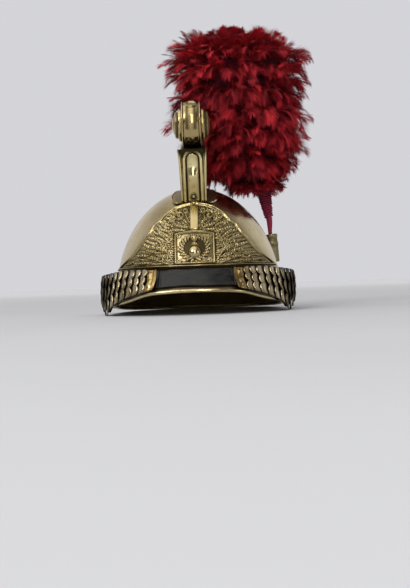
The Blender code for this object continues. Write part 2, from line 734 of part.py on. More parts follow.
def build_leather(finish):
    """The strap's leather: a backing under each run of scales and the plain stretch over the visor."""
    lengths = np.linspace(9.0, STRAP_PATH[-1][0], 11)
    grids = [
        [[strap_point(length, up, out) for up in (0.1, 0.5, 0.9)] for length in lengths]
        for out in (0.0, -LEATHER)
    ]
    add_object("scale_leather_left", shell(*grids), finish)
    add_object("scale_leather_right", shell(*grids), finish, mirrored=True)
    shares = np.linspace(-STRAP_HALF_SPAN[0], STRAP_HALF_SPAN[1], 15)
    grids = []
    for out in (LEATHER + 0.6, 0.6):
        grid = []
        for share in shares:
            fold = 0.5 * math.sin(share * 40) * math.sin(share * 9)
            lift = out + (fold + 0.5 if out > 1 else 0.0)
            grid.append([visor_point(share, down, lift) for down in (0.10, 0.35, 0.6, 0.82)])
        grids.append(grid)
    add_object("front_strap", shell(*grids), finish)


def build_bosses(finish):
    """A domed disc at each ear, whose shank stands on the skull."""
    y, z = BOSS_MIDDLE
    foot = skull_side(y, z) + GAP + 0.6
    back = SKULL_HALF_WIDTH + BOSS_STAND
    profile = [
        (0, foot), (4, foot), (4, back), (BOSS_RADIUS - 1, back + 0.8), (BOSS_RADIUS, back + 1.8),
        (BOSS_RADIUS - 0.6, back + 3.2), (0.7 * BOSS_RADIUS, back + 5.0), (0.63 * BOSS_RADIUS, back + 4.6),
        (0.33 * BOSS_RADIUS, back + 6.6), (0, back + 7.2),
    ]
    made = lathe(profile, (0, y, z), (1, 0, 0), 14)
    add_object("ear_boss_left", made, finish)
    add_object("ear_boss_right", made, finish, mirrored=True)


def socket_x(height):
    """Where the socket's axis is at a height."""
    lowest, highest, _ = BRACKET
    standing = skull_side(PLUME_Y, (lowest + highest) / 2) + SOCKET_STAND
    share = (height - SOCKET_BOTTOM[1]) / (SOCKET_TOP[1] - SOCKET_BOTTOM[1])
    return standing + SOCKET_BOTTOM[0] + (SOCKET_TOP[0] - SOCKET_BOTTOM[0]) * share


def build_plume_holder(brass, red):
    """The tube that holds the plume, its bracket, the stem in it and the thread wound round the quills."""
    bottom = np.array((socket_x(SOCKET_BOTTOM[1]), PLUME_Y, SOCKET_BOTTOM[1]))
    top = np.array((socket_x(SOCKET_TOP[1]), PLUME_Y, SOCKET_TOP[1]))
    length = float(np.linalg.norm(top - bottom))
    r = SOCKET_RADIUS
    profile = [
        (0, 0), (r - 1.2, 0), (r - 0.9, 1.0), (r - 0.4, length - 14), (r, length - 12.5), (r, length - 10),
        (r - 0.6, length - 9), (r - 0.6, length - 5), (r, length - 4), (r, length - 0.6), (r - 0.6, length),
        (SOCKET_BORE[0], length), (SOCKET_BORE[0] - 0.6, length - SOCKET_BORE[1]), (0, length - SOCKET_BORE[1]),
    ]
    add_object("plume_socket", lathe(profile, bottom, top - bottom, 12), brass)
    lowest, highest, reach = BRACKET
    grids = []
    for outer in (True, False):
        grid = []
        for z in np.linspace(lowest, highest, 3):
            row = []
            for y in (PLUME_Y - reach, PLUME_Y, PLUME_Y + reach):
                x = socket_x(z) - r - GAP if outer else skull_side(y, z) + GAP + 0.4
                row.append(np.array((x, y, z)))
            grid.append(row)
        grids.append(grid)
    add_object("socket_bracket", shell(*grids), brass)
    stem = [(socket_x(z) + off, PLUME_Y, z) for z, radius, off in STEM_LOW]
    stem += [(WINDING_BOTTOM[0] + off, PLUME_Y, WINDING_BOTTOM[1] - below) for below, radius, off in STEM_HIGH]
    add_object("plume_stem", tube(stem, [row[1] for row in STEM_LOW + STEM_HIGH], 8, (0, 1, 0)), red)
    low = np.array((WINDING_BOTTOM[0], PLUME_Y, WINDING_BOTTOM[1]))
    high = np.array((WINDING_TOP[0], PLUME_Y, WINDING_TOP[1]))
    tall = float(np.linalg.norm(high - low))
    profile = [(0, 0)]
    for k in range(2 * WINDING_TURNS + 1):
        share = k / (2 * WINDING_TURNS)
        swell = 0.0 if k % 2 else -0.9
        profile.append((WINDING_BOTTOM[2] + (WINDING_TOP[2] - WINDING_BOTTOM[2]) * share + swell, tall * share))
    profile.append((0, tall))
    add_object("plume_winding", lathe(profile, low, high - low, 10), red)


def plume_surface(turn, share):
    """A point on the feathers' body, from a turn from the wearer's left and a share of the height, and the way out."""
    x, half, y, deep = curve(PLUME_ROWS, share)
    swell = 1 + 0.05 * math.sin(3 * turn + share * 12) + 0.04 * math.sin(5 * turn - share * 22)
    start = np.array((WINDING_TOP[0], PLUME_Y, WINDING_TOP[1] + PLUME_CLEARANCE))
    place = (x + half * swell * math.cos(turn), y + deep * swell * math.sin(turn), PLUME_HEIGHT * share)
    return start + place, unit((math.cos(turn) * deep, math.sin(turn) * half, 0))


def build_feathers(finish):
    """The plume's body, with a lock of feathers drawn out at every other point of its surface."""
    steps = np.linspace(0, 1, PLUME_LEVELS)
    shares = 0.6 * steps + 0.4 * (0.5 - 0.5 * np.cos(math.pi * steps))
    chance = np.random.default_rng(12)
    rings = []
    for r, share in enumerate(shares):
        ends = min(1.0, share / LOCK_FADE, (1 - share) / LOCK_FADE)
        ring = []
        for c in range(PLUME_COLUMNS):
            turn = (c + 0.25 * (r % 2)) * 2 * math.pi / PLUME_COLUMNS
            point, out = plume_surface(turn, share)
            tip = (r + c) % 2 == 0
            reach = chance.uniform(*LOCK_LENGTH) if tip else -2.5
            lean = chance.uniform(-2.0, 2.0) + 6.0 * (share - 0.4) if tip else 0.0
            ring.append(point + (out * reach + np.array((0, 0, lean))) * max(ends, 0.0))
        rings.append(ring)
    points = np.array(rings).reshape(-1, 3)
    faces = quads(PLUME_LEVELS, PLUME_COLUMNS, 0, True)
    last = (PLUME_LEVELS - 1) * PLUME_COLUMNS
    faces += [tuple(range(PLUME_COLUMNS)), tuple(last + s for s in range(PLUME_COLUMNS))]
    add_object("plume_feathers", (points, faces), finish)


def main():
    """Clears the scene and builds every piece."""
    for thing in list(bpy.data.objects):
        bpy.data.objects.remove(thing)
    skull_brass = material("brass_skull", (0.62, 0.52, 0.30), 1.0, 0.28)
    stamped_brass = material("brass_stamped", (0.52, 0.42, 0.18), 1.0, 0.33)
    crest_brass = material("brass_crest", (0.66, 0.52, 0.22), 1.0, 0.22)
    scale_brass = material("brass_scales", (0.50, 0.41, 0.21), 1.0, 0.34)
    socket_brass = material("brass_socket", (0.24, 0.20, 0.09), 1.0, 0.42)
    leather = material("leather_dark", (0.03, 0.035, 0.03), 0.0, 0.55)
    thread = material("thread_red", (0.22, 0.012, 0.03), 0.0, 0.75)
    feathers = material("feathers_red", (0.33, 0.012, 0.025), 0.0, 0.8)
    build_bombe(skull_brass)
    build_visor(skull_brass, scale_brass)
    build_guard(skull_brass, scale_brass)
    build_plate(stamped_brass)
    build_crest(crest_brass)
    build_crest_front(crest_brass)
    build_scroll(crest_brass)
    build_scales(scale_brass)
    build_leather(leather)
    build_bosses(scale_brass)
    build_plume_holder(socket_brass, thread)
    build_feathers(feathers)


main()
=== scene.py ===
"""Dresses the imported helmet: brass skull, stamped front plate, crest, scaled chin strap and red plume.

Lengths in the helmet's classes are millimetres in its own axes, as in the part's source. They become
metres over the stand's place in one method, MeshData.on_stand. The studio's are metres.
"""

from __future__ import annotations

import json
import logging
import math
from dataclasses import dataclass, field
from enum import Enum
from typing import Sequence

import bpy
import numpy as np
from mathutils import Matrix, Vector

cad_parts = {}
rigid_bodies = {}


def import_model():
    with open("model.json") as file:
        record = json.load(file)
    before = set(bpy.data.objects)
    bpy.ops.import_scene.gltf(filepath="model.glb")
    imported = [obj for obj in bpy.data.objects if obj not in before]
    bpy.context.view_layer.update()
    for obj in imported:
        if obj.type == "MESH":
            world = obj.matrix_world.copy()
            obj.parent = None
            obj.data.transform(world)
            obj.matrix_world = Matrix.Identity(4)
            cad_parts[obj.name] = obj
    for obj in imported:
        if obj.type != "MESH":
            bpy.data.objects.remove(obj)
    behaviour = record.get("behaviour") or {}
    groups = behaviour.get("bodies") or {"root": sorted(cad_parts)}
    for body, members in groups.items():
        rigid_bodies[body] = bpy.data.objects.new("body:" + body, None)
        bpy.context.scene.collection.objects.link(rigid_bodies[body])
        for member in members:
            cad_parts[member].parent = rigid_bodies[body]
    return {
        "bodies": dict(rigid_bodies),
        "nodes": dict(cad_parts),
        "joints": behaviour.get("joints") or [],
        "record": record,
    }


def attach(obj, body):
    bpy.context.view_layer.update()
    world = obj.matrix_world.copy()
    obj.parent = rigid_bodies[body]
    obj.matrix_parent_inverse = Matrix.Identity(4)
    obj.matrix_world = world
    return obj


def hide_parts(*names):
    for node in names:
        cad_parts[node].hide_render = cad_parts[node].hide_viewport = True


Array = np.ndarray
Socket = bpy.types.NodeSocket
Place = Sequence[float]
Colour = tuple[float, float, float]
Table = tuple[tuple[float, ...], ...]
LOG = logging.getLogger("helmet")
MM = 0.001
STAND_SHIFT = np.array((-12.4, 2.5, 0.0))


def unit(vectors: Array | Place) -> Array:
    """Vectors made one long along their last axis."""
    vectors = np.asarray(vectors, float)
    return vectors / np.maximum(np.linalg.norm(vectors, axis=-1, keepdims=True), 1e-12)


def curve(table: Table | Array, key: Array | float) -> Array:
    """Values of a table eased through its rows.

    Args:
        table: rows of a key and then its values.
        key: one key or an array of them.

    Returns:
        The values, in a last axis after the key's own shape.
    """
    rows = np.asarray(table, float)
    keys, values = rows[:, 0], rows[:, 1:]
    slopes = np.gradient(values, keys, axis=0)
    key = np.clip(np.asarray(key, float), keys[0], keys[-1])
    i = np.clip(np.searchsorted(keys, key) - 1, 0, len(keys) - 2)
    step = (keys[i + 1] - keys[i])[..., None]
    t = (key - keys[i])[..., None] / step
    return (
        values[i] * (2 * t**3 - 3 * t**2 + 1)
        + slopes[i] * step * (t**3 - 2 * t**2 + t)
        + values[i + 1] * (3 * t**2 - 2 * t**3)
        + slopes[i + 1] * step * (t**3 - t**2)
    )


def bell(distance: Array | float, width: float) -> Array:
    """One at no distance, falling smoothly to nothing past the width."""
    return np.exp(-((np.asarray(distance, float) / width) ** 2))


def ramp(value: Array | float, low: float, high: float) -> Array:
    """A smooth rise from 0 at low to 1 at high."""
    t = np.clip((np.asarray(value, float) - low) / (high - low), 0, 1)
    return t * t * (3 - 2 * t)


def arch(distance: Array | float, half: Array | float) -> Array:
    """A round hump, 1 at no distance and nought from half its width on."""
    return np.sqrt(np.maximum(1 - (np.asarray(distance, float) / half) ** 2, 0))


@dataclass
class MeshData:
    """Points in millimetres, faces with four and three sides, and named values for the points."""

    points: Array
    quads: Array
    triangles: Array = field(default_factory=lambda: np.zeros((0, 3), int))
    values: dict[str, Array] = field(default_factory=dict)

    def joined(self, other: "MeshData") -> "MeshData":
        """Both meshes in one, with the values that both have.

        Args:
            other: the mesh whose points and faces come after this one's.

        Returns:
            A new mesh.
        """
        shift = len(self.points)
        return MeshData(
            np.concatenate([self.points, other.points]),
            np.concatenate([self.quads, other.quads + shift]),
            np.concatenate([self.triangles, other.triangles + shift]),
            {k: np.concatenate([v, other.values[k]]) for k, v in self.values.items() if k in other.values},
        )

    def mirrored(self) -> "MeshData":
        """The same on the other side of the helmet."""
        return MeshData(self.points * (-1, 1, 1), self.quads[:, ::-1], self.triangles[:, ::-1], self.values)

    def darkened(self, outer: Array, rest: float = 1.0) -> "MeshData":
        """The same mesh with a share of darkening on its points: patina in hollows on some pieces, painted
        shade and painted reflections on others.

        Args:
            outer: how much, from 0 to 1, at each of the first points, which are the outer face.
            rest: how much at all the others.

        Returns:
            This mesh.
        """
        share = np.full(len(self.points), rest)
        share[: outer.size] = np.clip(outer, 0, 1).ravel()
        self.values["patina_and_shade"] = share
        return self

    def on_stand(self) -> "MeshData":
        """The same in metres over the stand's place.

        Returns:
            A new mesh with its faces turned outwards.
        """
        points = (self.points + STAND_SHIFT) * MM
        corners = points[np.concatenate([self.quads[:, :3], self.quads[:, [0, 2, 3]], self.triangles])]
        facing = np.einsum("ij,ij->", np.cross(corners[:, 0], corners[:, 1]), corners[:, 2])
        order = slice(None, None, -1 if facing < 0 else 1)
        return MeshData(points, self.quads[:, order], self.triangles[:, order], self.values)


def grid_quads(rows: int, columns: int, wrap_rows: bool = False, wrap_columns: bool = False) -> Array:
    """Faces of a grid of points that is numbered row by row.

    Args:
        rows: how many rows it has.
        columns: how many points stand in a row.
        wrap_rows: whether the last row meets the first.
        wrap_columns: whether the last column meets the first.

    Returns:
        The four point numbers of each face.
    """
    number = np.arange(rows * columns).reshape(rows, columns)
    if wrap_rows:
        number = np.concatenate([number, number[:1]])
    if wrap_columns:
        number = np.concatenate([number, number[:, :1]], axis=1)
    sides = number[:-1, :-1], number[:-1, 1:], number[1:, 1:], number[1:, :-1]
    return np.stack([side.ravel() for side in sides], axis=1)


def shell(outer: Array, inner: Array, wrap: bool = False, capped: bool = False) -> MeshData:
    """A closed sheet between two grids of one shape.

    Args:
        outer: rows by columns by 3 points of the outer face.
        inner: the same for the inner face.
        wrap: whether the last column meets the first.
        capped: whether the last row is a small ring that a fan closes.

    Returns:
        The mesh of the sheet.
    """
    rows, columns = outer.shape[:2]
    half = rows * columns
    face = grid_quads(rows, columns, wrap_columns=wrap)
    quads = [face, face[:, ::-1] + half]
    number = np.arange(half).reshape(rows, columns)
    if wrap:
        number = np.concatenate([number, number[:, :1]], axis=1)

    def border(line: Array) -> Array:
        """Faces along one edge, from the outer to the inner face."""
        return np.stack([line[1:], line[:-1], line[:-1] + half, line[1:] + half], axis=1)

    quads.append(border(number[0]))
    triangles = np.zeros((0, 3), int)
    points = np.concatenate([outer.reshape(-1, 3), inner.reshape(-1, 3)])
    if capped:
        tops = np.stack([outer[-1].mean(axis=0), inner[-1].mean(axis=0)])
        ring = number[-1]
        over = np.stack([ring[:-1], ring[1:], np.full(len(ring) - 1, 2 * half)], axis=1)
        under = np.stack([ring[1:] + half, ring[:-1] + half, np.full(len(ring) - 1, 2 * half + 1)], axis=1)
        points = np.concatenate([points, tops])
        triangles = np.concatenate([over, under])
    else:
        quads.append(border(number[-1][::-1]))
    if not wrap:
        quads.append(border(number[::-1, 0]))
        quads.append(border(number[:, -1]))
    return MeshData(points, np.concatenate(quads), triangles)


def closed_rings(rings: Array, ends: Array) -> MeshData:
    """A skin over rings of points, with a fan to a point at each end.

    Args:
        rings: rings by columns by 3 points.
        ends: the two end points.

    Returns:
        The mesh of the skin.
    """
    rows, columns = rings.shape[:2]
    count = rows * columns
    first = np.arange(columns)
    last = first + count - columns
    fans = [
        np.stack([np.roll(first, -1), first, np.full(columns, count)], axis=1),
        np.stack([last, np.roll(last, -1), np.full(columns, count + 1)], axis=1),
    ]
    points = np.concatenate([rings.reshape(-1, 3), ends])
    return MeshData(points, grid_quads(rows, columns, wrap_columns=True), np.concatenate(fans))


def tube(path: Array, radii: Array | float, sides: int, upright: Place = (0, 0, 1)) -> MeshData:
    """A round bar along a path, with a fan at each end.

    Args:
        path: points in order.
        radii: one radius, or one for each point.
        sides: how many flats make its section.
        upright: a direction that the path never runs along.

    Returns:
        The mesh of the bar.
    """
    path = np.asarray(path, float)
    radii = np.broadcast_to(np.asarray(radii, float), len(path))
    along = unit(np.gradient(path, axis=0))
    across = unit(np.cross(along, np.asarray(upright, float)))
    up = np.cross(across, along)
    turns = np.arange(sides) * 2 * math.pi / sides
    ring = np.cos(turns)[None, :, None] * across[:, None] + np.sin(turns)[None, :, None] * up[:, None]
    return closed_rings(path[:, None] + ring * radii[:, None, None], path[[0, -1]])


def lathe(
    profile: Sequence[tuple[float, ...]], origin: Place, axis: Place, sides: int, rounding: int = 1
) -> MeshData:
    """A turned solid whose profile runs round its section and back to its first point.

    Args:
        profile: radius and distance along the axis of each corner.
        origin: where the axis starts.
        axis: the way it runs.
        sides: how many flats it has.
        rounding: how often the corners are cut off, for a softer profile.

    Returns:
        The mesh of the solid.
    """
    outline = np.asarray(profile, float)
    for _ in range(rounding):
        nxt = np.roll(outline, -1, axis=0)
        keep = (outline[:, 0] < 0.1) & (nxt[:, 0] < 0.1)
        first = np.where(keep[:, None], outline, outline * 0.8 + nxt * 0.2)
        second = np.where(keep[:, None], nxt, outline * 0.2 + nxt * 0.8)
        outline = np.stack([first, second], axis=1).reshape(-1, 2)
    way = unit(axis)
    across = unit(np.cross(way, (0.31, 0.87, 0.23)))
    other = np.cross(way, across)
    turns = np.arange(sides) * 2 * math.pi / sides
    ring = np.cos(turns)[:, None] * across + np.sin(turns)[:, None] * other
    radius, along = (column[:, None, None] for column in outline.T)
    points = np.asarray(origin, float) + way * along + ring[None] * np.maximum(radius, 0.0)
    return MeshData(points.reshape(-1, 3), grid_quads(len(outline), sides, wrap_rows=True, wrap_columns=True))


def make_piece(
    name: str, data: MeshData, finish: "Finish", stands_for: Sequence[str] = (), sharp: float = 40.0
) -> None:
    """Makes one object of the scene, riding on the helmet.

    Args:
        name: the piece's name.
        data: its mesh in millimetres.
        finish: what it is made of.
        stands_for: the CAD nodes that it replaces.
        sharp: the angle in degrees from which an edge stays crisp.
    """
    placed = data.on_stand()
    points, quads, triangles = placed.points, placed.quads, placed.triangles
    mesh = bpy.data.meshes.new(name)
    loops = np.concatenate([quads.ravel(), triangles.ravel()]).astype(np.int32)
    starts = np.concatenate([np.arange(len(quads)) * 4, len(quads) * 4 + np.arange(len(triangles)) * 3])
    mesh.vertices.add(len(points))
    mesh.vertices.foreach_set("co", points.astype(np.float32).ravel())
    mesh.loops.add(len(loops))
    mesh.loops.foreach_set("vertex_index", loops)
    mesh.polygons.add(len(starts))
    mesh.polygons.foreach_set("loop_start", starts.astype(np.int32))
    mesh.update(calc_edges=True)
    for key, values in placed.values.items():
        mesh.attributes.new(key, "FLOAT", "POINT").data.foreach_set("value", values.astype(np.float32))
    mesh.shade_smooth()
    if sharp < 180:
        mesh.set_sharp_from_angle(angle=math.radians(sharp))
    mesh.validate()
    mesh.materials.append(finish.material())
    piece = bpy.data.objects.new(name, mesh)
    bpy.context.scene.collection.objects.link(piece)
    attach(piece, "root")
    if stands_for:
        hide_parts(*stands_for)
    LOG.info("%s: %d faces, stands for %s", name, len(starts), ", ".join(stands_for) or "nothing")


class Slot(Enum):
    """The record's material slots."""

    SKULL = "brass_skull"
    STAMPED = "brass_stamped"
    CREST = "brass_crest"
    SCALES = "brass_scales"
    SOCKET = "brass_socket"
    LEATHER = "leather_dark"
    THREAD = "thread_red"
    FEATHERS = "feathers_red"


class Side(Enum):
    """The wearer's two sides."""

    LEFT = "left"
    RIGHT = "right"

    def turned(self, data: MeshData) -> MeshData:
        """A mesh made for the left, put on this side."""
        return data if self is Side.LEFT else data.mirrored()


class Graph:
    """A material's nodes, added one at a time."""

    def __init__(self, name: str) -> None:
        """Starts an empty material with its shader and output.

        Args:
            name: the material's name.
        """
        self.made = bpy.data.materials.new(name)
        self.made.use_nodes = True
        self.tree = self.made.node_tree
        self.shader = self.tree.nodes["Principled BSDF"]
        self.object_space = self.add("ShaderNodeTexCoord").outputs["Object"]

    def add(self, kind: str, **settings: object) -> bpy.types.Node:
        """A node of a kind, with its own settings.

        Args:
            kind: the node's type.
            settings: its properties by name.

        Returns:
            The new node.
        """
        node = self.tree.nodes.new(kind)
        for key, value in settings.items():
            setattr(node, key, value)
        return node

    def plug(self, source: Socket, target: Socket) -> None:
        """Links one socket to another."""
        self.tree.links.new(source, target)

    def noise(self, scale: float, detail: float = 4.0, stretch: Place | None = None) -> Socket:
        """Noise in the object's own space.

        Args:
            scale: how fine it is.
            detail: how many finer layers it has.
            stretch: how much finer along each axis, if it is uneven.

        Returns:
            The noise, from 0 to 1.
        """
        source = self.object_space
        if stretch is not None:
            mapping = self.add("ShaderNodeMapping")
            mapping.inputs["Scale"].default_value = tuple(stretch)
            self.plug(source, mapping.inputs["Vector"])
            source = mapping.outputs["Vector"]
        node = self.add("ShaderNodeTexNoise")
        node.inputs["Scale"].default_value = scale
        node.inputs["Detail"].default_value = detail
        self.plug(source, node.inputs["Vector"])
        return node.outputs["Fac"]

    def attribute(self, name: str) -> Socket:
        """A value that the mesh carries, or nought where it has none."""
        return self.add("ShaderNodeAttribute", attribute_name=name).outputs["Fac"]

    def shade(self, source: Socket | float, name: str) -> None:
        """Sets one of the shader's own values.

        Args:
            source: a socket to link, or a plain number.
            name: the value's name.
        """
        target = self.shader.inputs[name]
        if isinstance(source, float):
            target.default_value = source
        else:
            self.plug(source, target)

    def spread(self, value: Socket, low: float, high: float, start: float = 0.0, end: float = 1.0) -> Socket:
        """A value mapped from one range to another and held inside it.

        Args:
            value: what is mapped.
            low: the value that gives the start.
            high: the value that gives the end.
            start: the result at or below low.
            end: the result at or above high.

        Returns:
            The mapped value.
        """
        node = self.add("ShaderNodeMapRange")
        for key, number in zip(("From Min", "From Max", "To Min", "To Max"), (low, high, start, end)):
            node.inputs[key].default_value = number
        self.plug(value, node.inputs["Value"])
        return node.outputs["Result"]

    def sum(self, first: Socket, second: Socket) -> Socket:
        """Two values added.

        Args:
            first: one of them.
            second: the other.

        Returns:
            Their sum.
        """
        node = self.add("ShaderNodeMath", operation="ADD")
        self.plug(first, node.inputs[0])
        self.plug(second, node.inputs[1])
        return node.outputs[0]

    def blend(self, share: Socket, first: Colour | Socket, second: Colour | Socket) -> Socket:
        """A colour between two others.

        Args:
            share: how much of the second is in it.
            first: the colour at no share.
            second: the colour at a full share.

        Returns:
            The mixed colour.
        """
        node = self.add("ShaderNodeMix", data_type="RGBA")
        self.plug(share, node.inputs[0])
        for socket, colour in ((node.inputs[6], first), (node.inputs[7], second)):
            if isinstance(colour, tuple):
                socket.default_value = (*colour, 1.0)
            else:
                self.plug(colour, socket)
        return node.outputs[2]

    def bump(self, height: Socket, strength: float, depth_mm: float) -> None:
        """Roughens the surface by a height, over any bump that it already has.

        Args:
            height: the pattern, from 0 to 1.
            strength: how much of it shows.
            depth_mm: how high its full height is taken to be.
        """
        node = self.add("ShaderNodeBump")
        node.inputs["Strength"].default_value = strength
        node.inputs["Distance"].default_value = depth_mm * MM
        self.plug(height, node.inputs["Height"])
        earlier = self.shader.inputs["Normal"].links
        if earlier:
            self.plug(earlier[0].from_socket, node.inputs["Normal"])
        self.plug(node.outputs["Normal"], self.shader.inputs["Normal"])


class Finish:
    """What a piece is made of. A kind of finish fills in the nodes, and each is made once."""

    slot: Slot
    name: str

    def material(self) -> bpy.types.Material:
        """The material, made the first time it is asked for.

        Returns:
            The material that all pieces of this finish share.
        """
        found = bpy.data.materials.get(self.name)
        if found is None:
            graph = Graph(self.name)
            self.paint(graph)
            found = graph.made
        return found

    def paint(self, graph: Graph) -> None:
        """Fills in the nodes of an empty material, which each kind does in its own way."""
        raise NotImplementedError


@dataclass(frozen=True)
class Brass(Finish):
    """Old brass: two tints in soft patches, dark specks of patina, a darker colour where the mesh marks
    patina in hollows and painted shade, and fine scratches.

    The patch is how fine the patches are. Specks grow over a span of noise, up to their share. Dent
    and scratch are how much of either shows, and the depths are in millimetres.
    """

    name: str
    slot: Slot
    light: Colour
    deep: Colour
    patina_and_shade_tint: Colour
    rough: tuple[float, float]
    patch: float = 16.0
    specks: tuple[float, float] = (0.60, 0.74)
    speck_share: float = 0.55
    scratch: float = 0.10
    dent: float = 0.05
    dulled_rough: float = 0.3
    dent_depth: float = 6.0
    scratch_depth: float = 0.5
    pit_depth: float = 0.35

    def paint(self, graph: Graph) -> None:
        """Fills in the nodes of the brass.

        Args:
            graph: the empty material.
        """
        patches = graph.spread(graph.noise(self.patch, 5.0), 0.36, 0.64)
        fine = graph.noise(210.0, 7.0)
        specks = graph.spread(fine, *self.specks, 0.0, self.speck_share)
        patina_and_shade = graph.spread(graph.attribute("patina_and_shade"), 0.0, 1.0)
        clean = graph.blend(specks, graph.blend(patches, self.light, self.deep), self.patina_and_shade_tint)
        # The mesh's share darkens the colour with patina in hollows, painted shade and painted reflections,
        # and makes the surface rougher there.
        graph.shade(graph.blend(patina_and_shade, clean, self.patina_and_shade_tint), "Base Color")
        graph.shade(1.0, "Metallic")
        rough = graph.spread(graph.noise(60.0, 6.0), 0.3, 0.7, *self.rough)
        dulling = graph.spread(patina_and_shade, 0.0, 1.0, 0.0, self.dulled_rough)
        graph.shade(graph.sum(rough, dulling), "Roughness")
        graph.bump(graph.noise(26.0, 3.0), self.dent, self.dent_depth)
        graph.bump(graph.noise(30.0, 6.0, (1.0, 9.0, 34.0)), self.scratch, self.scratch_depth)
        graph.bump(fine, self.scratch, self.pit_depth)


@dataclass(frozen=True)
class Leather(Finish):
    """Old dark leather with a fine grain, worn paler in patches."""

    name: str
    slot: Slot
    base: Colour
    worn: Colour
    rough: tuple[float, float] = (0.28, 0.58)
    shine: float = 0.28
    grain: float = 900.0
    grain_depth: float = 0.25
    crease_depth: float = 1.2

    def paint(self, graph: Graph) -> None:
        """Fills in the nodes of the leather.

        Args:
            graph: the empty material.
        """
        graph.shade(self.shine, "Specular IOR Level")
        wear = graph.spread(graph.noise(75.0, 7.0, (1.0, 1.0, 3.0)), 0.46, 0.74)
        graph.shade(graph.blend(wear, self.base, self.worn), "Base Color")
        graph.shade(graph.spread(wear, 0.0, 1.0, *self.rough), "Roughness")
        grain = graph.add("ShaderNodeTexVoronoi")
        grain.inputs["Scale"].default_value = self.grain
        graph.plug(graph.object_space, grain.inputs["Vector"])
        graph.bump(grain.outputs["Distance"], 0.35, self.grain_depth)
        graph.bump(graph.noise(60.0, 5.0, (1.0, 1.0, 2.5)), 0.5, self.crease_depth)


@dataclass(frozen=True)
class Dyed(Finish):
    """Dyed feather or thread, coloured by the mesh's tone: painted shade darkens it at the root and in the
    folds, painted light makes it lighter where the light falls, and it is paler where worn.
    """

    name: str
    slot: Slot
    deep: Colour
    light: Colour
    rough: float = 0.7
    strand: float = 900.0
    mottle: float = 0.22
    smoother: float = 0.14
    shine: float = 0.25

    def paint(self, graph: Graph) -> None:
        """Fills in the nodes of the dyed fibre.

        Args:
            graph: the empty material.
        """
        mottle = graph.spread(graph.noise(70.0, 5.0), 0.3, 0.7, -self.mottle, self.mottle)
        clear = graph.spread(graph.sum(graph.attribute("tone"), mottle), 0.0, 1.0)
        graph.shade(graph.blend(clear, self.deep, self.light), "Base Color")
        graph.shade(graph.spread(clear, 0.0, 1.0, self.rough, self.rough - self.smoother), "Roughness")
        graph.shade(self.shine, "Specular IOR Level")
        graph.bump(graph.noise(self.strand, 3.0), 0.3, 0.2)


SKULL_BRASS = Brass(
    "skull_brass", Slot.SKULL, (0.70, 0.58, 0.33), (0.46, 0.35, 0.16),
    (0.12, 0.075, 0.03), (0.14, 0.27), dent=0.08
)
PLATE_BRASS = Brass(
    "plate_brass", Slot.STAMPED, (0.60, 0.48, 0.25), (0.36, 0.28, 0.12),
    (0.032, 0.023, 0.009), (0.15, 0.28), scratch=0.2
)
CREST_BRASS = Brass(
    "crest_brass", Slot.CREST, (0.90, 0.77, 0.42), (0.60, 0.47, 0.20),
    (0.034, 0.026, 0.010), (0.08, 0.20), dent=0.10
)
SCALE_BRASS = Brass(
    "scale_brass", Slot.SCALES, (0.58, 0.48, 0.30), (0.28, 0.21, 0.10),
    (0.014, 0.012, 0.009), (0.12, 0.28), patch=40.0
)
# A darker copy of the crest's brass for the scroll and its discs: painted shade.
SCROLL_BRASS = Brass(
    "scroll_brass", Slot.CREST, (0.66, 0.53, 0.27), (0.42, 0.31, 0.13),
    (0.030, 0.022, 0.009), (0.07, 0.18), dent=0.08
)
END_BRASS = Brass(
    "end_brass", Slot.CREST, (0.62, 0.44, 0.17), (0.20, 0.12, 0.045),
    (0.030, 0.020, 0.010), (0.08, 0.20), patch=60.0
)
SOCKET_BRASS = Brass(
    "socket_brass", Slot.SOCKET, (0.30, 0.26, 0.13), (0.18, 0.15, 0.07),
    (0.05, 0.036, 0.015), (0.32, 0.50)
)
DARK_LEATHER = Leather("dark_leather", Slot.LEATHER, (0.005, 0.005, 0.004), (0.026, 0.024, 0.019))
RED_THREAD = Dyed("red_thread", Slot.THREAD, (0.07, 0.004, 0.014), (0.36, 0.03, 0.075), 0.8, 1500.0)
RED_FEATHER = Dyed("red_feather", Slot.FEATHERS, (0.075, 0.003, 0.009), (0.70, 0.028, 0.040), 0.85)


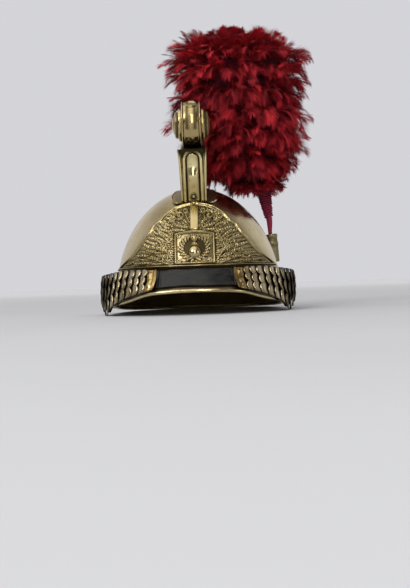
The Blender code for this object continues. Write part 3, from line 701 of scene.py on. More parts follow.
@dataclass(frozen=True)
class SkullShape:
    """The skull's outer face: half an ellipsoid above its base."""

    half_width: float = 98.5
    half_length: float = 120.0
    base: float = 20.0
    rise: float = 127.0
    edge_table: Table = ((0, 50), (58, 50), (80, 33), (105, 33), (135, 42), (180, 44))

    def edge(self, angle: Array | float) -> Array:
        """Height of the lower edge.

        Args:
            angle: the angle from the front in degrees.

        Returns:
            The height, rounded over the table's corners.
        """
        table = np.asarray(self.edge_table, float)
        spot = np.abs((np.asarray(angle, float) + 180) % 360 - 180)
        return sum(np.interp(spot + shift, *table.T) for shift in (-4, -2, 0, 2, 4)) / 5

    def normal(self, points: Array) -> Array:
        """The way out of the face at points on it.

        Args:
            points: the points, in their last axis.

        Returns:
            Directions one long.
        """
        x, y, z = (points[..., k] for k in range(3))
        lifted = np.maximum(z - self.base, 0.0)
        parts = (x / self.half_width**2, y / self.half_length**2, lifted / self.rise**2)
        return unit(np.stack(parts, axis=-1))

    def point(self, angle: Array | float, height: Array | float, out: Array | float = 0.0) -> Array:
        """Points outside the face.

        Args:
            angle: their angle from the front in degrees.
            height: their height on the face.
            out: how far outside it they are.

        Returns:
            The points.
        """
        angle, height, out = np.broadcast_arrays(*(np.asarray(v, float) for v in (angle, height, out)))
        share = arch(np.maximum(height - self.base, 0.0), self.rise)
        turn = np.radians(angle)
        place = (self.half_width * share * np.sin(turn), -self.half_length * share * np.cos(turn), height)
        points = np.stack(place, axis=-1)
        return points + self.normal(points) * out[..., None]

    def width_at(self, height: Array | float) -> Array:
        """Half the width at a height."""
        return self.half_width * np.sqrt(1 - ((np.asarray(height, float) - self.base) / self.rise) ** 2)

    def beside(self, turn: Array, out: Array) -> Array:
        """Places in plan outside the base wall by out, from their turn in degrees."""
        return self.point(turn, self.base, out)[..., :2]

    def above(self, x: Array | float, y: Array | float, out: Array | float = 0.0) -> Array:
        """Points outside the face, from their place in plan.

        Args:
            x: their place across.
            y: their place along.
            out: how far outside the face they are.

        Returns:
            The points.
        """
        x, y, out = np.broadcast_arrays(*(np.asarray(v, float) for v in (x, y, out)))
        inside = np.maximum(1 - (x / self.half_width) ** 2 - (y / self.half_length) ** 2, 0.0)
        points = np.stack((x, y, self.base + self.rise * np.sqrt(inside)), axis=-1)
        return points + self.normal(points) * out[..., None]


@dataclass
class Skull:
    """The skull, its visor and its neck guard, each with a rolled rim."""

    shape: SkullShape = field(default_factory=SkullShape)
    sheet: float = 1.2
    seam: float = 0.5
    top_share: float = 0.98
    columns: int = 144
    courses: int = 46
    rim_sides: int = 14
    visor_angle: float = 77.0
    visor_rim_radius: float = 1.9
    guard_rim_radius: float = 2.3
    visor_rim: Table = (
        (0.0, 0, -141, 25.5), (0.2, 27, -139, 24.9), (0.4, 52, -130, 22.6), (0.55, 69, -117, 17.6),
        (0.7, 83, -100, 14.0), (0.85, 95, -68, 11.0), (1.0, 101, -29, 9.6),
    )
    guard_rim: Table = (
        (0.0, 101, -24, 9.4), (0.15, 102, 4, 8.0), (0.32, 99, 42, 5.6), (0.5, 87, 80, 3.7),
        (0.68, 63, 111, 2.62), (0.84, 33, 130, 2.32), (1.0, 0, 135.5, 2.32),
    )
    dents: Table = ((-48, 96, 16, 0.35), (62, 88, 13, 0.3), (150, 92, 18, 0.4), (-128, 70, 14, 0.3))

    def build(self) -> None:
        """Makes the skull, visor, neck guard and rims."""
        self.build_bombe()
        self.build_visor()
        self.build_guard()

    def build_bombe(self) -> None:
        """The domed sheet with a few faint dents from use, and a painted shadow beside the front plate."""
        shares = np.sin(np.linspace(0, math.pi / 2 * self.top_share, self.courses))
        angles, shares = np.meshgrid(np.linspace(0, 360, self.columns + 1)[:-1], shares)
        edge = self.shape.edge(angles)
        heights = edge + (self.shape.base + self.shape.rise - edge) * shares
        dents = 0.0
        for angle, height, width, depth in self.dents:
            away = self.shape.point(angles, heights) - self.shape.point(angle, height)
            dents = dents - depth * bell(np.linalg.norm(away, axis=-1), width)
        outer = self.shape.point(angles, heights, dents)
        inner = self.shape.point(angles, heights, dents - self.sheet)
        spot = np.abs((angles + 180) % 360 - 180)
        off = np.radians(spot - curve(FrontPlate.outline, heights)[..., 0]) * self.shape.width_at(heights)
        # Painted shadow on the skull along the front plate's edge.
        shade = 0.42 * bell(off - 4.0, 5.0) * ramp(heights, 46, 60) * ramp(124 - heights, 0, 6)
        data = shell(outer, inner, wrap=True, capped=True).darkened(shade, rest=0.0)
        make_piece("skull_sheet", data, SKULL_BRASS, ["bombe"])

    def visor_rim_at(self, share: Array) -> Array:
        """The rim's middle line.

        Args:
            share: from -1 at the wearer's right ear to 1 at the left.

        Returns:
            Points on it.
        """
        points = curve(self.visor_rim, np.abs(share))
        return np.stack((np.sign(share) * points[..., 0], points[..., 1], points[..., 2]), axis=-1)

    def visor_at(self, share: Array, down: Array, out: Array | float = 0.0) -> Array:
        """Points outside the visor.

        Args:
            share: from -1 at the wearer's right ear to 1 at the left.
            down: from 0 at the skull's edge to 1 at the rim.
            out: how far outside the face they are.

        Returns:
            The points.
        """
        share, down, out = np.broadcast_arrays(*(np.asarray(v, float) for v in (share, down, out)))

        def face(share: Array, down: Array) -> Array:
            """Points on the outer face.

            Args:
                share: as above.
                down: as above.

            Returns:
                The points.
            """
            angle = self.visor_angle * share
            seam = self.shape.point(angle, self.shape.edge(angle) - self.seam)
            rim = self.visor_rim_at(share)
            middle = (seam + rim) / 2 + np.array((0, 0, -1.6))
            down = down[..., None]
            return seam * (1 - down) ** 2 + 2 * middle * down * (1 - down) + rim * down**2

        step = 0.02
        ahead = face(share + step, down) - face(share - step, down)
        normal = unit(np.cross(ahead, face(share, down - step) - face(share, down + step)))
        return face(share, down) + normal * out[..., None]

    def build_visor(self) -> None:
        """The visor's sheet and its rolled rim."""
        shares, downs = np.meshgrid(np.linspace(-1, 1, 121), np.linspace(0, 1, 15))
        reach = np.linalg.norm(self.visor_rim_at(shares) - self.visor_at(shares, 0.0 * downs), axis=-1)
        downs = downs * (1 - (self.visor_rim_radius - 0.3) / reach)
        grids = [self.visor_at(shares, downs, out) for out in (0.0, -self.sheet)]
        data = shell(*grids).darkened(0.62 + 0.25 * np.sin(shares * 23) * np.sin(downs * 5))
        make_piece("visor_sheet", data, SKULL_BRASS, ["visor"])
        path = self.visor_rim_at(np.linspace(-1, 1, 141))
        bead = tube(path, self.visor_rim_radius, self.rim_sides)
        make_piece("visor_bead", bead, SKULL_BRASS, ["visor_rim"])

    def guard_rim_at(self, turn: Array) -> Array:
        """The rim's middle line.

        Args:
            turn: nought at the back, rising to 1 at the wearer's left ear and falling to -1 at the right.

        Returns:
            Points on it.
        """
        points = curve(self.guard_rim, 1 - np.abs(turn))
        return np.stack((np.sign(turn) * points[..., 0], points[..., 1], points[..., 2]), axis=-1)

    def build_guard(self) -> None:
        """The neck guard's flared sheet and its rolled rim."""
        turns, downs = np.meshgrid(np.linspace(-1, 1, 161), np.linspace(0, 1, 17))
        first = self.visor_angle + 0.4
        angle = np.where(turns < 0, -1, 1) * (180 - (180 - first) * np.abs(turns))
        top = self.shape.edge(angle) - self.seam
        seam = self.shape.point(angle, top)
        rim = self.guard_rim_at(turns)
        reach = np.linalg.norm(rim - seam, axis=-1)
        downs = (downs * (1 - (self.guard_rim_radius - 0.3) / reach))[..., None]
        bend = self.shape.point(angle, rim[..., 2] + 0.35 * (top - rim[..., 2]))
        face = seam * (1 - downs) ** 2 + 2 * bend * downs * (1 - downs) + rim * downs**2
        inward = unit(face * (1, 1, 0))
        make_piece("neck_guard_sheet", shell(face, face - inward * self.sheet), SKULL_BRASS, ["neck_guard"])
        path = self.guard_rim_at(np.linspace(-1, 1, 181))
        bead = tube(path, self.guard_rim_radius, self.rim_sides)
        make_piece("neck_guard_bead", bead, SKULL_BRASS, ["guard_rim"])


@dataclass
class Stamping:
    """Raised work drawn on a grid of places, the highest shape winning at each."""

    x: Array
    z: Array
    height: Array

    def raise_to(self, value: Array) -> None:
        """Keeps the higher of what is there and a new shape."""
        self.height = np.maximum(self.height, value)

    def ridge(self, start: Place, end: Place, width: float, tall: float, taper: float = 1.0) -> None:
        """A rounded bar between two places.

        Args:
            start: where it starts, across and up.
            end: where it ends.
            width: how wide it is at the start.
            tall: how high it is along its middle.
            taper: the share of its width that the end still has.
        """
        ahead = np.subtract(end, start).astype(float)
        along = ((self.x - start[0]) * ahead[0] + (self.z - start[1]) * ahead[1]) / (ahead @ ahead)
        held = np.clip(along, 0, 1)
        off = np.hypot(self.x - start[0] - held * ahead[0], self.z - start[1] - held * ahead[1])
        half = width * (1 - (1 - taper) * held) / 2
        self.raise_to(tall * arch(off, half))

    def leaf(self, base: Place, tip: Place, width: float, tall: float, veins: float = 0.25) -> None:
        """A pointed leaf with a groove down its middle and veins at its sides.

        Args:
            base: where it grows from, across and up.
            tip: where its point is.
            width: its greatest width.
            tall: its height.
            veins: how much the veins rise and fall.
        """
        ahead = np.subtract(tip, base).astype(float)
        length = math.hypot(*ahead)
        along = ((self.x - base[0]) * ahead[0] + (self.z - base[1]) * ahead[1]) / length**2
        off = ((self.x - base[0]) * ahead[1] - (self.z - base[1]) * ahead[0]) / length
        half = width / 2 * np.sin(np.pi * np.clip(along, 0, 1) ** 0.8) + 1e-6
        body = arch(off, half) * ((along > 0) & (along < 1))
        rib = 1 - 0.45 * bell(off, 0.35)
        vein = 1 + veins * np.sin(along * length * 2.4 - np.abs(off) * 2.0)
        self.raise_to(tall * body * rib * vein)

    def curl(self, middle: Place, radius: float, tall: float, turns: float, way: int = 1) -> None:
        """A curled tendril that winds in to a small ball.

        Args:
            middle: the ball's place, across and up.
            radius: how far out the tendril starts.
            tall: its height.
            turns: how often it winds round.
            way: 1 or -1, the way it winds.
        """
        across, up = self.x - middle[0], self.z - middle[1]
        reach = np.hypot(across, up)
        phase = reach / radius * turns - way * np.arctan2(up, across) / (2 * math.pi)
        wave = 0.5 + 0.5 * np.cos(2 * math.pi * phase)
        self.raise_to(tall * wave * ramp(radius - reach, 0, 1.2))
        self.raise_to(tall * 1.2 * arch(reach, radius * 0.22))

    def ball(self, middle: Place, radii: tuple[float, float], tall: float) -> None:
        """A boss with two radii."""
        off = ((self.x - middle[0]) / radii[0]) ** 2 + ((self.z - middle[1]) / radii[1]) ** 2
        self.raise_to(tall * arch(np.sqrt(off), 1.0))

    def roughened(self, tall: float) -> None:
        """Adds a small dense pattern of dots and strokes over what is there."""
        dots = np.sin(self.x * 2.3 + 1.3 * np.sin(self.z * 0.9))
        strokes = np.sin(self.z * 2.1 + 1.1 * np.sin(self.x * 1.1))
        self.height = self.height + tall * np.maximum(dots * strokes, 0.0)

    def softened(self, amount: int) -> Array:
        """The heights, averaged.

        Args:
            amount: over how many cells each way.

        Returns:
            The softer heights.
        """
        kernel = np.ones(2 * amount + 1) / (2 * amount + 1)
        blurred = self.height
        for axis in (0, 1):
            margins = [(amount, amount) if a == axis else (0, 0) for a in (0, 1)]
            padded = np.pad(blurred, margins, mode="edge")
            blurred = np.apply_along_axis(np.convolve, axis, padded, kernel, mode="valid")
        return blurred


@dataclass
class FrontPlate:
    """The stamped plate: a tablet with a wreath and a flaming ball, between trophies and wavy rays.

    The outline's rows hold a height and the turn of the edge in degrees. The spray's hold the length
    and turn of its leaves.
    """

    shape: SkullShape = field(default_factory=SkullShape)
    outline: Table = (
        (50, 70.1), (65, 50.4), (83, 40.0), (94, 35.2), (97, 34.6), (99.5, 32.3), (102, 29.9), (105, 28.6),
        (109, 26.6), (114, 22.0), (118, 15.7), (120, 9.5), (121, 3.8),
    )
    stand: float = 1.5
    sheet: float = 0.9
    rows: int = 226
    columns: int = 401
    border: float = 2.6
    depth: float = 1.5
    tablet_half: float = 20.8
    tablet_low: float = 53.0
    tablet_high: float = 85.6
    tablet_arch: float = 2.9
    wreath_leaves: int = 44
    wreath_up: float = 69.9
    wreath_squash: float = 0.90
    ball_up: float = 65.6
    ball_radius: float = 6.7
    flame_low: float = 72.0
    flame_high: float = 82.4
    rays_from: tuple[float, float] = (-6.0, 57.0)
    spray: Table = ((9.5, 100), (10.5, 72), (11.5, 46), (12.5, 20), (12, -4), (10, -28))
    stud_profile: Table = ((0, -1.2), (1.7, -0.8), (2.0, 0.2), (1.5, 1.2), (0, 1.8))

    def build(self) -> None:
        """Makes the plate and the stud at its top."""
        edge = self.edge()
        run = np.concatenate([[0], np.cumsum(np.linalg.norm(np.diff(edge, axis=0), axis=1))])
        levels = np.interp(np.linspace(0, run[-1], self.rows), run, edge[:, 1])
        heights, shares = np.meshgrid(levels, np.linspace(-1, 1, self.columns), indexing="ij")
        turn = np.radians(curve(self.outline, heights)[..., 0]) * shares
        x = self.shape.width_at(heights) * np.sin(turn)
        work = Stamping(x, heights, np.zeros_like(x))
        self.draw(work, self.inset(x, heights, edge))
        # Patina and painted shade in the stamping's hollows, where it lies below its softened heights, and
        # painted shade over all the low ground between the raised work.
        patina_and_shade = np.clip((work.softened(4) - work.height) * 2.6, 0, 1) * 0.95
        patina_and_shade = np.maximum(patina_and_shade, 0.95 * ramp(0.42 - work.height, 0.0, 0.34))
        raised = self.stand + self.sheet + self.depth * work.height
        points = self.shape.point(np.degrees(turn), heights, raised)
        skirt = self.shape.point(np.degrees(turn), heights, self.stand)
        framed = np.pad(points, ((1, 1), (1, 1), (0, 0)), mode="edge")
        lowered = np.pad(skirt, ((1, 1), (1, 1), (0, 0)), mode="edge")
        for side in (np.s_[0, :], np.s_[-1, :], np.s_[:, 0], np.s_[:, -1]):
            framed[side] = lowered[side]
        values = {"patina_and_shade": np.pad(patina_and_shade, 1, mode="edge").ravel()}
        data = MeshData(framed.reshape(-1, 3), grid_quads(self.rows + 2, self.columns + 2), values=values)
        make_piece("front_plate_stamping", data, PLATE_BRASS, ["front_plate"], sharp=180)
        stud = self.shape.point(0.0, 120.0, 3.0) + np.array((0, -4.2, 0))
        turned = lathe(self.stud_profile, stud, (0, -0.9, 0.4), 28, 2)
        make_piece("front_plate_stud", turned, CREST_BRASS, ["front_stud"])

    def edge(self) -> Array:
        """The outline's right side.

        Returns:
            Places across and up, from the lower corner to the top.
        """
        levels = np.concatenate([np.linspace(50, 112, 120), np.linspace(112, 121, 120)[1:]])
        turn = np.radians(curve(self.outline, levels)[:, 0])
        return np.stack([self.shape.width_at(levels) * np.sin(turn), levels], axis=1)

    def inset(self, x: Array, z: Array, edge: Array) -> Array:
        """How far inside the outline each place is.

        Args:
            x: places across.
            z: their heights.
            edge: the outline's right side.

        Returns:
            The distance to the nearest side.
        """
        line = np.concatenate([[(0.0, 50.0)], edge, [(0.0, edge[-1, 1])]])
        found = np.full(x.shape, np.inf)
        for start, end in zip(line[:-1:2], line[2::2]):
            ahead = end - start
            off_x, off_z = np.abs(x) - start[0], z - start[1]
            along = np.clip((off_x * ahead[0] + off_z * ahead[1]) / (ahead @ ahead), 0, 1)
            off = np.hypot(off_x - along * ahead[0], off_z - along * ahead[1])
            found = np.minimum(found, off)
        return found

    def draw(self, work: Stamping, inset: Array) -> None:
        """Draws all the raised work.

        Args:
            work: the grid that it is drawn on.
            inset: how far inside the outline each place is.
        """
        x, z = work.x, work.z
        self.draw_rays(work)
        for side in (-1, 1):
            self.draw_trophy(work, side)
        work.roughened(0.28)
        bar = ramp(4.6 - np.abs(x), 0, 0.8) * ramp(z, 86, 88)
        work.height = np.where(bar > 0.05, bar * (0.8 + 0.5 * arch(x, 5.2)), work.height)
        self.draw_tablet(work)
        rim = bell(inset - self.border / 2, self.border * 0.42) * 1.5
        gutter = ramp(inset, self.border * 0.9, self.border * 1.5)
        work.height = np.where(inset < self.border * 1.5, np.maximum(rim, work.height * gutter), work.height)

    def draw_rays(self, work: Stamping) -> None:
        """Wavy lines that stream from beside the tablet to the lower corners and the shoulders.

        Args:
            work: the grid that they are drawn on.
        """
        x, z = np.abs(work.x), work.z
        ahead, rise = x - self.rays_from[0], z - self.rays_from[1]
        angle, reach = np.arctan2(rise, ahead), np.hypot(rise, ahead)
        lean = np.where(work.x < 0, 0.6, 1.9)
        wander = 0.9 * np.sin(reach * 0.17 + lean) + 0.35 * np.sin(reach * 0.43 + 5 * angle)
        phase = angle * (34 + 0.22 * reach) + wander
        strands = np.abs(np.sin(phase)) ** 0.8
        swell = 0.55 + 0.25 * np.sin(reach * 0.21 + 3 * angle + lean)
        quiet = ramp(z, 84, 92) * ramp(34 - x, 0, 8)
        work.raise_to(strands * swell * (1 - 0.75 * quiet))

    def draw_trophy(self, work: Stamping, side: int) -> None:
        """Arms, leaves and curls beside and above the tablet.

        Args:
            work: the grid that it is drawn on.
            side: -1 for the viewer's left, 1 for the right.
        """
        def at(x: float, z: float) -> tuple[float, float]:
            """A place on this side."""
            return side * x, z

        work.curl(at(15.5, 106), 6.2, 1.7, 1.6, side)
        work.curl(at(8.6, 94.5), 3.4, 1.4, 1.2, -side)
        work.curl(at(24.5, 101.5), 3.8, 1.4, 1.3, -side)
        work.curl(at(33.0, 96.0), 3.2, 1.3, 1.2, side)
        for turn in range(20, 341, 40):
            way = math.radians(turn)
            tip = at(9.2 + 3.4 * math.cos(way), 111.5 + 4.0 * math.sin(way))
            work.leaf(at(9.2 + 1.0 * math.cos(way), 111.5 + 1.2 * math.sin(way)), tip, 2.2, 1.3)
        for k, (reach, turn) in enumerate(self.spray):
            way = math.radians(turn)
            tip = at(16 + (reach + 3) * math.cos(way), 104 + (reach + 1) * math.sin(way))
            work.leaf(at(16 + 4 * math.cos(way), 104 + 4 * math.sin(way)), tip, 4.2, 1.35 + 0.1 * (k % 2))
        for start, end, width, tall in (
            ((8, 92), (25, 97.5), 3.6, 1.3), ((9, 89.5), (27, 90.5), 3.2, 1.1),
            ((20, 100), (33, 107), 3.4, 1.2), ((22, 94), (38, 101), 4.0, 1.3),
            ((24, 88), (42, 94), 3.6, 1.15), ((6.5, 97), (12, 101), 2.4, 1.1),
        ):
            work.leaf(at(*start), at(*end), width, tall)
        for start, end, width, tall, taper in (
            ((22, 56), (47, 92), 1.7, 1.5, 0.7), ((22, 80), (52, 62), 1.7, 1.4, 0.7),
            ((24, 66), (58, 82), 1.4, 1.2, 0.6), ((22, 92), (34, 66), 1.4, 1.2, 0.8),
            ((26, 53), (60, 66), 1.6, 1.1, 0.6),
        ):
            work.ridge(at(*start), at(*end), width, tall, taper)
        for k in range(5):
            work.ridge(at(23 + 2.6 * k, 70), at(27 + 2.4 * k, 79), 0.9, 1.25)
            work.ridge(at(23.5, 71 + 1.9 * k), at(35.5, 69 + 2.1 * k), 0.9, 1.2)
        for base, tip, width in (
            ((24, 64), (35, 71), 5.0), ((27, 60), (41, 64), 5.0), ((25, 56.5), (40, 57.5), 4.6),
            ((30, 67), (43, 73), 4.6), ((36, 60), (52, 61), 4.6), ((38, 66), (53, 70), 4.4),
            ((36, 78), (47, 84), 4.6), ((30, 82), (40, 90), 4.6), ((46, 72), (58, 77), 4.0),
            ((50, 64), (66, 65), 4.2), ((50, 56), (68, 57), 4.4), ((64, 59), (80, 55), 3.8),
        ):
            work.leaf(at(*base), at(*tip), width, 1.25, 0.35)
        work.curl(at(31.5, 60.5), 4.6, 1.5, 1.3, -side)
        work.curl(at(38.5, 75.5), 4.2, 1.3, 1.3, side)
        work.curl(at(25.5, 86.5), 3.8, 1.3, 1.2, side)
        for place, radii in (
            ((45, 72.5), (3.6, 2.6)), ((27.5, 92.5), (2.0, 1.6)),
            ((42, 88.5), (1.8, 1.6)), ((57, 60), (1.8, 1.4)),
        ):
            work.ball(at(*place), radii, 1.7)

    def draw_tablet(self, work: Stamping) -> None:
        """The raised tablet with its wreath, ball and flame.

        Args:
            work: the grid that it is drawn on.
        """
        x, z = work.x, work.z
        top = self.tablet_high + self.tablet_arch * (1 - (x / self.tablet_half) ** 2)
        inset = np.minimum.reduce([self.tablet_half - np.abs(x), z - self.tablet_low, top - z])
        inside = ramp(inset, -0.9, 0.1)
        panel = Stamping(x, z, np.full_like(x, 0.5))
        spot = np.hypot(x, (z - 70.2) * 0.98)
        # The field round the ball is sunk, so that the painted shade on low ground darkens it.
        panel.height = panel.height - 0.40 * ramp(14.2 - spot, 0, 2.0)
        for k in range(self.wreath_leaves):
            turn = 2 * math.pi * (k + 0.5) / self.wreath_leaves
            lean = turn + (0.21 if math.sin(turn) > 0 else -0.21)
            inner, outer = (12.6, 17.6) if k % 2 else (10.8, 15.2)
            base, tip = (
                (reach * math.sin(way), self.wreath_up - self.wreath_squash * reach * math.cos(way))
                for reach, way in ((inner, turn), (outer, lean))
            )
            panel.leaf(base, tip, 2.7, 1.7 + 0.3 * (k % 3), 0.1)
        for k in range(4):
            corner = np.array((16.2 if k % 2 else -16.2, 56.8 if k < 2 else 83.4))
            for turn in range(0, 360, 60):
                way = np.array((math.cos(math.radians(turn)), math.sin(math.radians(turn))))
                panel.leaf(corner + way * 0.4, corner + way * 3.2, 1.9, 1.5, 0.0)
        frame = bell(inset - 1.1, 0.95) * 1.15 + 0.7
        panel.height = np.where(inset < 2.4, frame, panel.height)
        panel.ball((0, self.ball_up), (self.ball_radius, self.ball_radius), 3.4)
        flame = 0.9 + 0.85 * np.abs(z - 76.2)
        body = arch(x, flame) * ramp(z - self.flame_low, 0, 0.8) * ramp(self.flame_high - z, 0, 1.0)
        tongues = 1 - 0.5 * bell(np.abs(x) - 0.5 * flame, 0.4)
        panel.raise_to((0.5 + 2.2 * body * tongues) * (body > 0))
        work.height = work.height * (1 - inside) + panel.height * inside
        work.height = work.height - 0.55 * bell(inset + 1.1, 0.7) * (inside < 0.5)


@dataclass
class Crest:
    """The hollow comb with its flanges, the plate that closes its front and the scroll on top.

    A station holds the comb's foot along, its top along and up, and half its width at foot and top.
    """

    shape: SkullShape = field(default_factory=SkullShape)
    stations: Table = (
        (-69.2, -85.6, 181.0, 14.0, 15.6), (-61, -72, 185.6, 14.0, 15.8), (-57, -60, 185.8, 14.0, 15.6),
        (-50.5, -49, 189.0, 14.0, 15.0), (-43, -37.5, 204.5, 13.8, 13.6), (-26, -24, 203.5, 13.4, 12.2),
        (-6, 0, 195.5, 12.8, 10.8), (17, 25, 181.0, 12.0, 9.4), (41, 50, 160.0, 11.0, 8.0),
        (64, 73, 135.0, 9.6, 6.4), (84, 91, 110.5, 8.0, 5.0), (97, 103, 88.5, 6.4, 4.0),
    )
    sheet: float = 1.0
    flute_pitch: float = 7.0
    flute_depth: float = 0.6
    border_height: float = 0.5
    lobe_middle: float = -48.0
    lobe_reach: float = 19.4
    pillar_away: float = 9.3
    pillar_half: float = 1.75
    front_line: Table = ((124.2, -71.2, 14.2), (140, -77.2, 14.2), (160, -83.2, 14.8), (180.8, -88.0, 16.3))
    rosette_height: float = 129.6
    rosette_profile: Table = (
        (0, 0), (4.2, 0), (4.7, 0.7), (4.3, 1.3), (3.2, 1.0), (2.6, 1.6), (2.1, 1.1), (1.6, 2.3), (0, 2.9),
    )
    arch_half: float = 6.6
    arch_top: float = 176.0
    scroll_middle: tuple[float, float, float] = (0.0, -66.0, 212.0)
    scroll_radius: float = 26.0
    scroll_half: float = 10.6
    disc_radius: float = 18.2
    disc_reach: float = 21.9

    def build(self) -> None:
        """Makes the comb, its flanges, its front with the rosette, the scroll and the discs."""
        self.build_comb()
        self.build_feet()
        self.build_front()
        self.build_rosette()
        self.build_scroll()
        self.build_discs()

    def build_comb(self) -> None:
        """The comb: upright flutes between plain borders, with painted shade in front under the scroll and
        darker flutes.
        """
        steps = np.concatenate([np.linspace(0, 4, 57), np.linspace(4, 11, 99)[1:]])
        table = np.asarray(self.stations)
        straight = np.stack([np.interp(steps, np.arange(12), column) for column in table.T], axis=1)
        soft = curve(np.column_stack([np.arange(12), table]), steps)
        rows = np.where(steps[:, None] < 4.0, straight, soft)
        foot_y, top_y, top_z, foot_half, top_half = (column[:, None] for column in rows.T)
        share = np.concatenate([np.linspace(0, 0.9, 27), [0.93, 0.955, 0.975, 0.99, 1.0]])[None]
        rise = np.minimum(share / 0.9, 1.0)
        bend = np.maximum(share - 0.9, 0.0) / 0.1
        base = self.shape.above(foot_half, foot_y)[..., 2] + 1.3
        fade = ramp(foot_y, -60, -52)
        fluted = ramp(share, 0.12, 0.2) * ramp(0.86 - share, 0.0, 0.07)
        wave = 0.5 + 0.5 * np.cos(foot_y * 2 * math.pi / self.flute_pitch)
        flute = -self.flute_depth * fluted * wave
        border = self.border_height * (bell(share - 0.885, 0.02) + bell(share - 0.09, 0.02))
        grids = []
        for inside in (0.0, self.sheet):
            width = (foot_half + (top_half - foot_half) * rise) * (1 - 0.28 * bend**2) - inside
            if not inside:
                width = width + (flute + border) * fade
            level = base + (top_z - inside - base) * (0.93 * share + 0.07 * bend * (2 - bend))
            place = np.broadcast_arrays(width, foot_y + (top_y - foot_y) * rise, level)
            side = np.stack(place, axis=-1)
            crown = [side[:, -1:] * (part, 1, 1) for part in (0.6, 0.4, 0.2, 0.0)]
            half = np.concatenate([side, *crown], axis=1)
            grids.append(np.concatenate([half * (-1, 1, 1), half[:, -2::-1]], axis=1))
        outer = grids[0]
        # Painted shade on the comb's front under the scroll, and darker flute hollows.
        shade = ramp(-36 - outer[..., 1], 0, 12) * ramp(outer[..., 2], 166, 176)
        dulling = -1.2 * flute * fade
        top_columns = outer.shape[1] - 2 * dulling.shape[1]
        groove = np.concatenate([dulling, np.zeros((len(steps), top_columns)), dulling[:, ::-1]], axis=1)
        data = shell(*grids).darkened(np.maximum(shade, groove))
        make_piece("crest_comb", data, CREST_BRASS, ["crest_body"], sharp=50)

    def build_feet(self) -> None:
        """The flanges beside the comb, swelling into a lobe with a beaded rim at the front."""
        keys = [s[0] for s in self.stations]
        halves = [s[3] for s in self.stations]
        ys = np.concatenate([np.linspace(-67.4, -29, 90), np.linspace(-29, 96, 90)[1:]])
        across = np.linspace(0, 1, 21)
        spot, share = np.meshgrid(ys, across, indexing="ij")
        lobe = arch(spot - self.lobe_middle, self.lobe_reach)
        width = 3.6 + 8.6 * lobe
        x = np.interp(spot, keys, halves) + 0.3 + width * share
        inset = (1 - share) * width
        rim = 1.2 * bell(inset - 0.9, 0.7) * ramp(width, 4.5, 7)
        turn = np.arctan2(spot - self.lobe_middle, x - 13)
        beads = 0.35 * bell(inset - 3.0, 0.7) * (0.5 + 0.5 * np.cos(turn * 26)) * ramp(width, 4.5, 7)
        outer = self.shape.above(x, spot, 1.55 + rim + beads)
        inner = self.shape.above(x, spot, 0.55)
        data = shell(outer, inner).darkened(1.3 * (0.55 - rim - beads))
        for side in Side:
            name = f"crest_flange_{side.value}"
            make_piece(name, side.turned(data), CREST_BRASS, [f"crest_foot_{side.value}"], sharp=50)

    def build_front(self) -> None:
        """The plate that closes the comb: an arched panel between pillars and borders."""
        levels = np.linspace(self.front_line[0][0], self.front_line[-1][0], 150)
        heights, shares = np.meshgrid(levels, np.linspace(-1, 1, 91), indexing="ij")
        line = curve(self.front_line, heights)
        half = line[..., 1]
        x = half * shares
        dome = self.arch_half * arch(x, self.arch_half)
        top = self.arch_top - self.arch_half + dome
        panel = ramp(self.arch_half - np.abs(x), 0, 0.6) * ramp(top - heights, -0.4, 0.8)
        swell = 3.3 * np.cos(np.clip((heights - 149) / 15, -1, 1) * math.pi / 2) ** 2
        relief = np.where(panel > 0, panel * (1.0 + (1.2 + swell) * dome / self.arch_half), 0.0)
        around = np.hypot(x, np.maximum(heights - self.arch_top + self.arch_half, 0.0))
        pillar = arch(around - self.pillar_away, self.pillar_half)
        relief = np.maximum(relief, 2.3 * pillar * ramp(178.6 - heights, 0.0, 1.0))
        edge = half - np.abs(x)
        relief = np.maximum(relief, 1.7 * arch(edge - 1.1, 1.1))
        relief = np.maximum(relief, 0.9 * bell(edge - 3.0, 0.5))
        relief = np.maximum(relief, 0.3)
        foot = ramp(heights - levels[0], 0.0, 1.8)
        relief = 0.3 + (relief - 0.3) * foot
        y = line[..., 0] + 0.004 * x**2
        outer = np.stack([x, y - 0.9 - relief, heights], axis=-1)
        inner = np.stack([x, y, heights], axis=-1)
        # Darker low ground between the raised parts, painted shade down the panel's sides, and painted shade
        # at the top, under the scroll.
        patina_and_shade = ramp(1.0 - relief, 0.0, 0.6) + 0.75 * panel * (np.abs(x) / self.arch_half) ** 4
        patina_and_shade = patina_and_shade + 0.9 * ramp(heights, 170, 179) * (1 - panel) + 0.35 * panel * ramp(heights, 164, 175)
        data = shell(outer, inner).darkened(patina_and_shade)
        make_piece("crest_front_plate", data, CREST_BRASS, ["crest_front"], sharp=60)

    def build_rosette(self) -> None:
        """The rosette at the front plate's foot, with eight petals."""
        line = float(curve(self.front_line, self.rosette_height)[0])
        middle = (0, line - 3.9, self.rosette_height)
        made = lathe(self.rosette_profile, middle, (0, -1, -0.36), 48)
        off = made.points - np.asarray(middle)
        turn = np.arctan2(off[:, 0], off[:, 2])
        reach = np.linalg.norm(off[:, [0, 2]], axis=1)
        made.points[:, 1] -= 0.35 * np.cos(8 * turn) * bell(reach - 3.4, 1.2)
        made.darkened(0.4 + 0.6 * bell(reach - 2.6, 0.8) + 0.5 * bell(reach - 4.6, 0.5))
        make_piece("crest_rosette_work", made, CREST_BRASS, ["crest_rosette"], sharp=60)

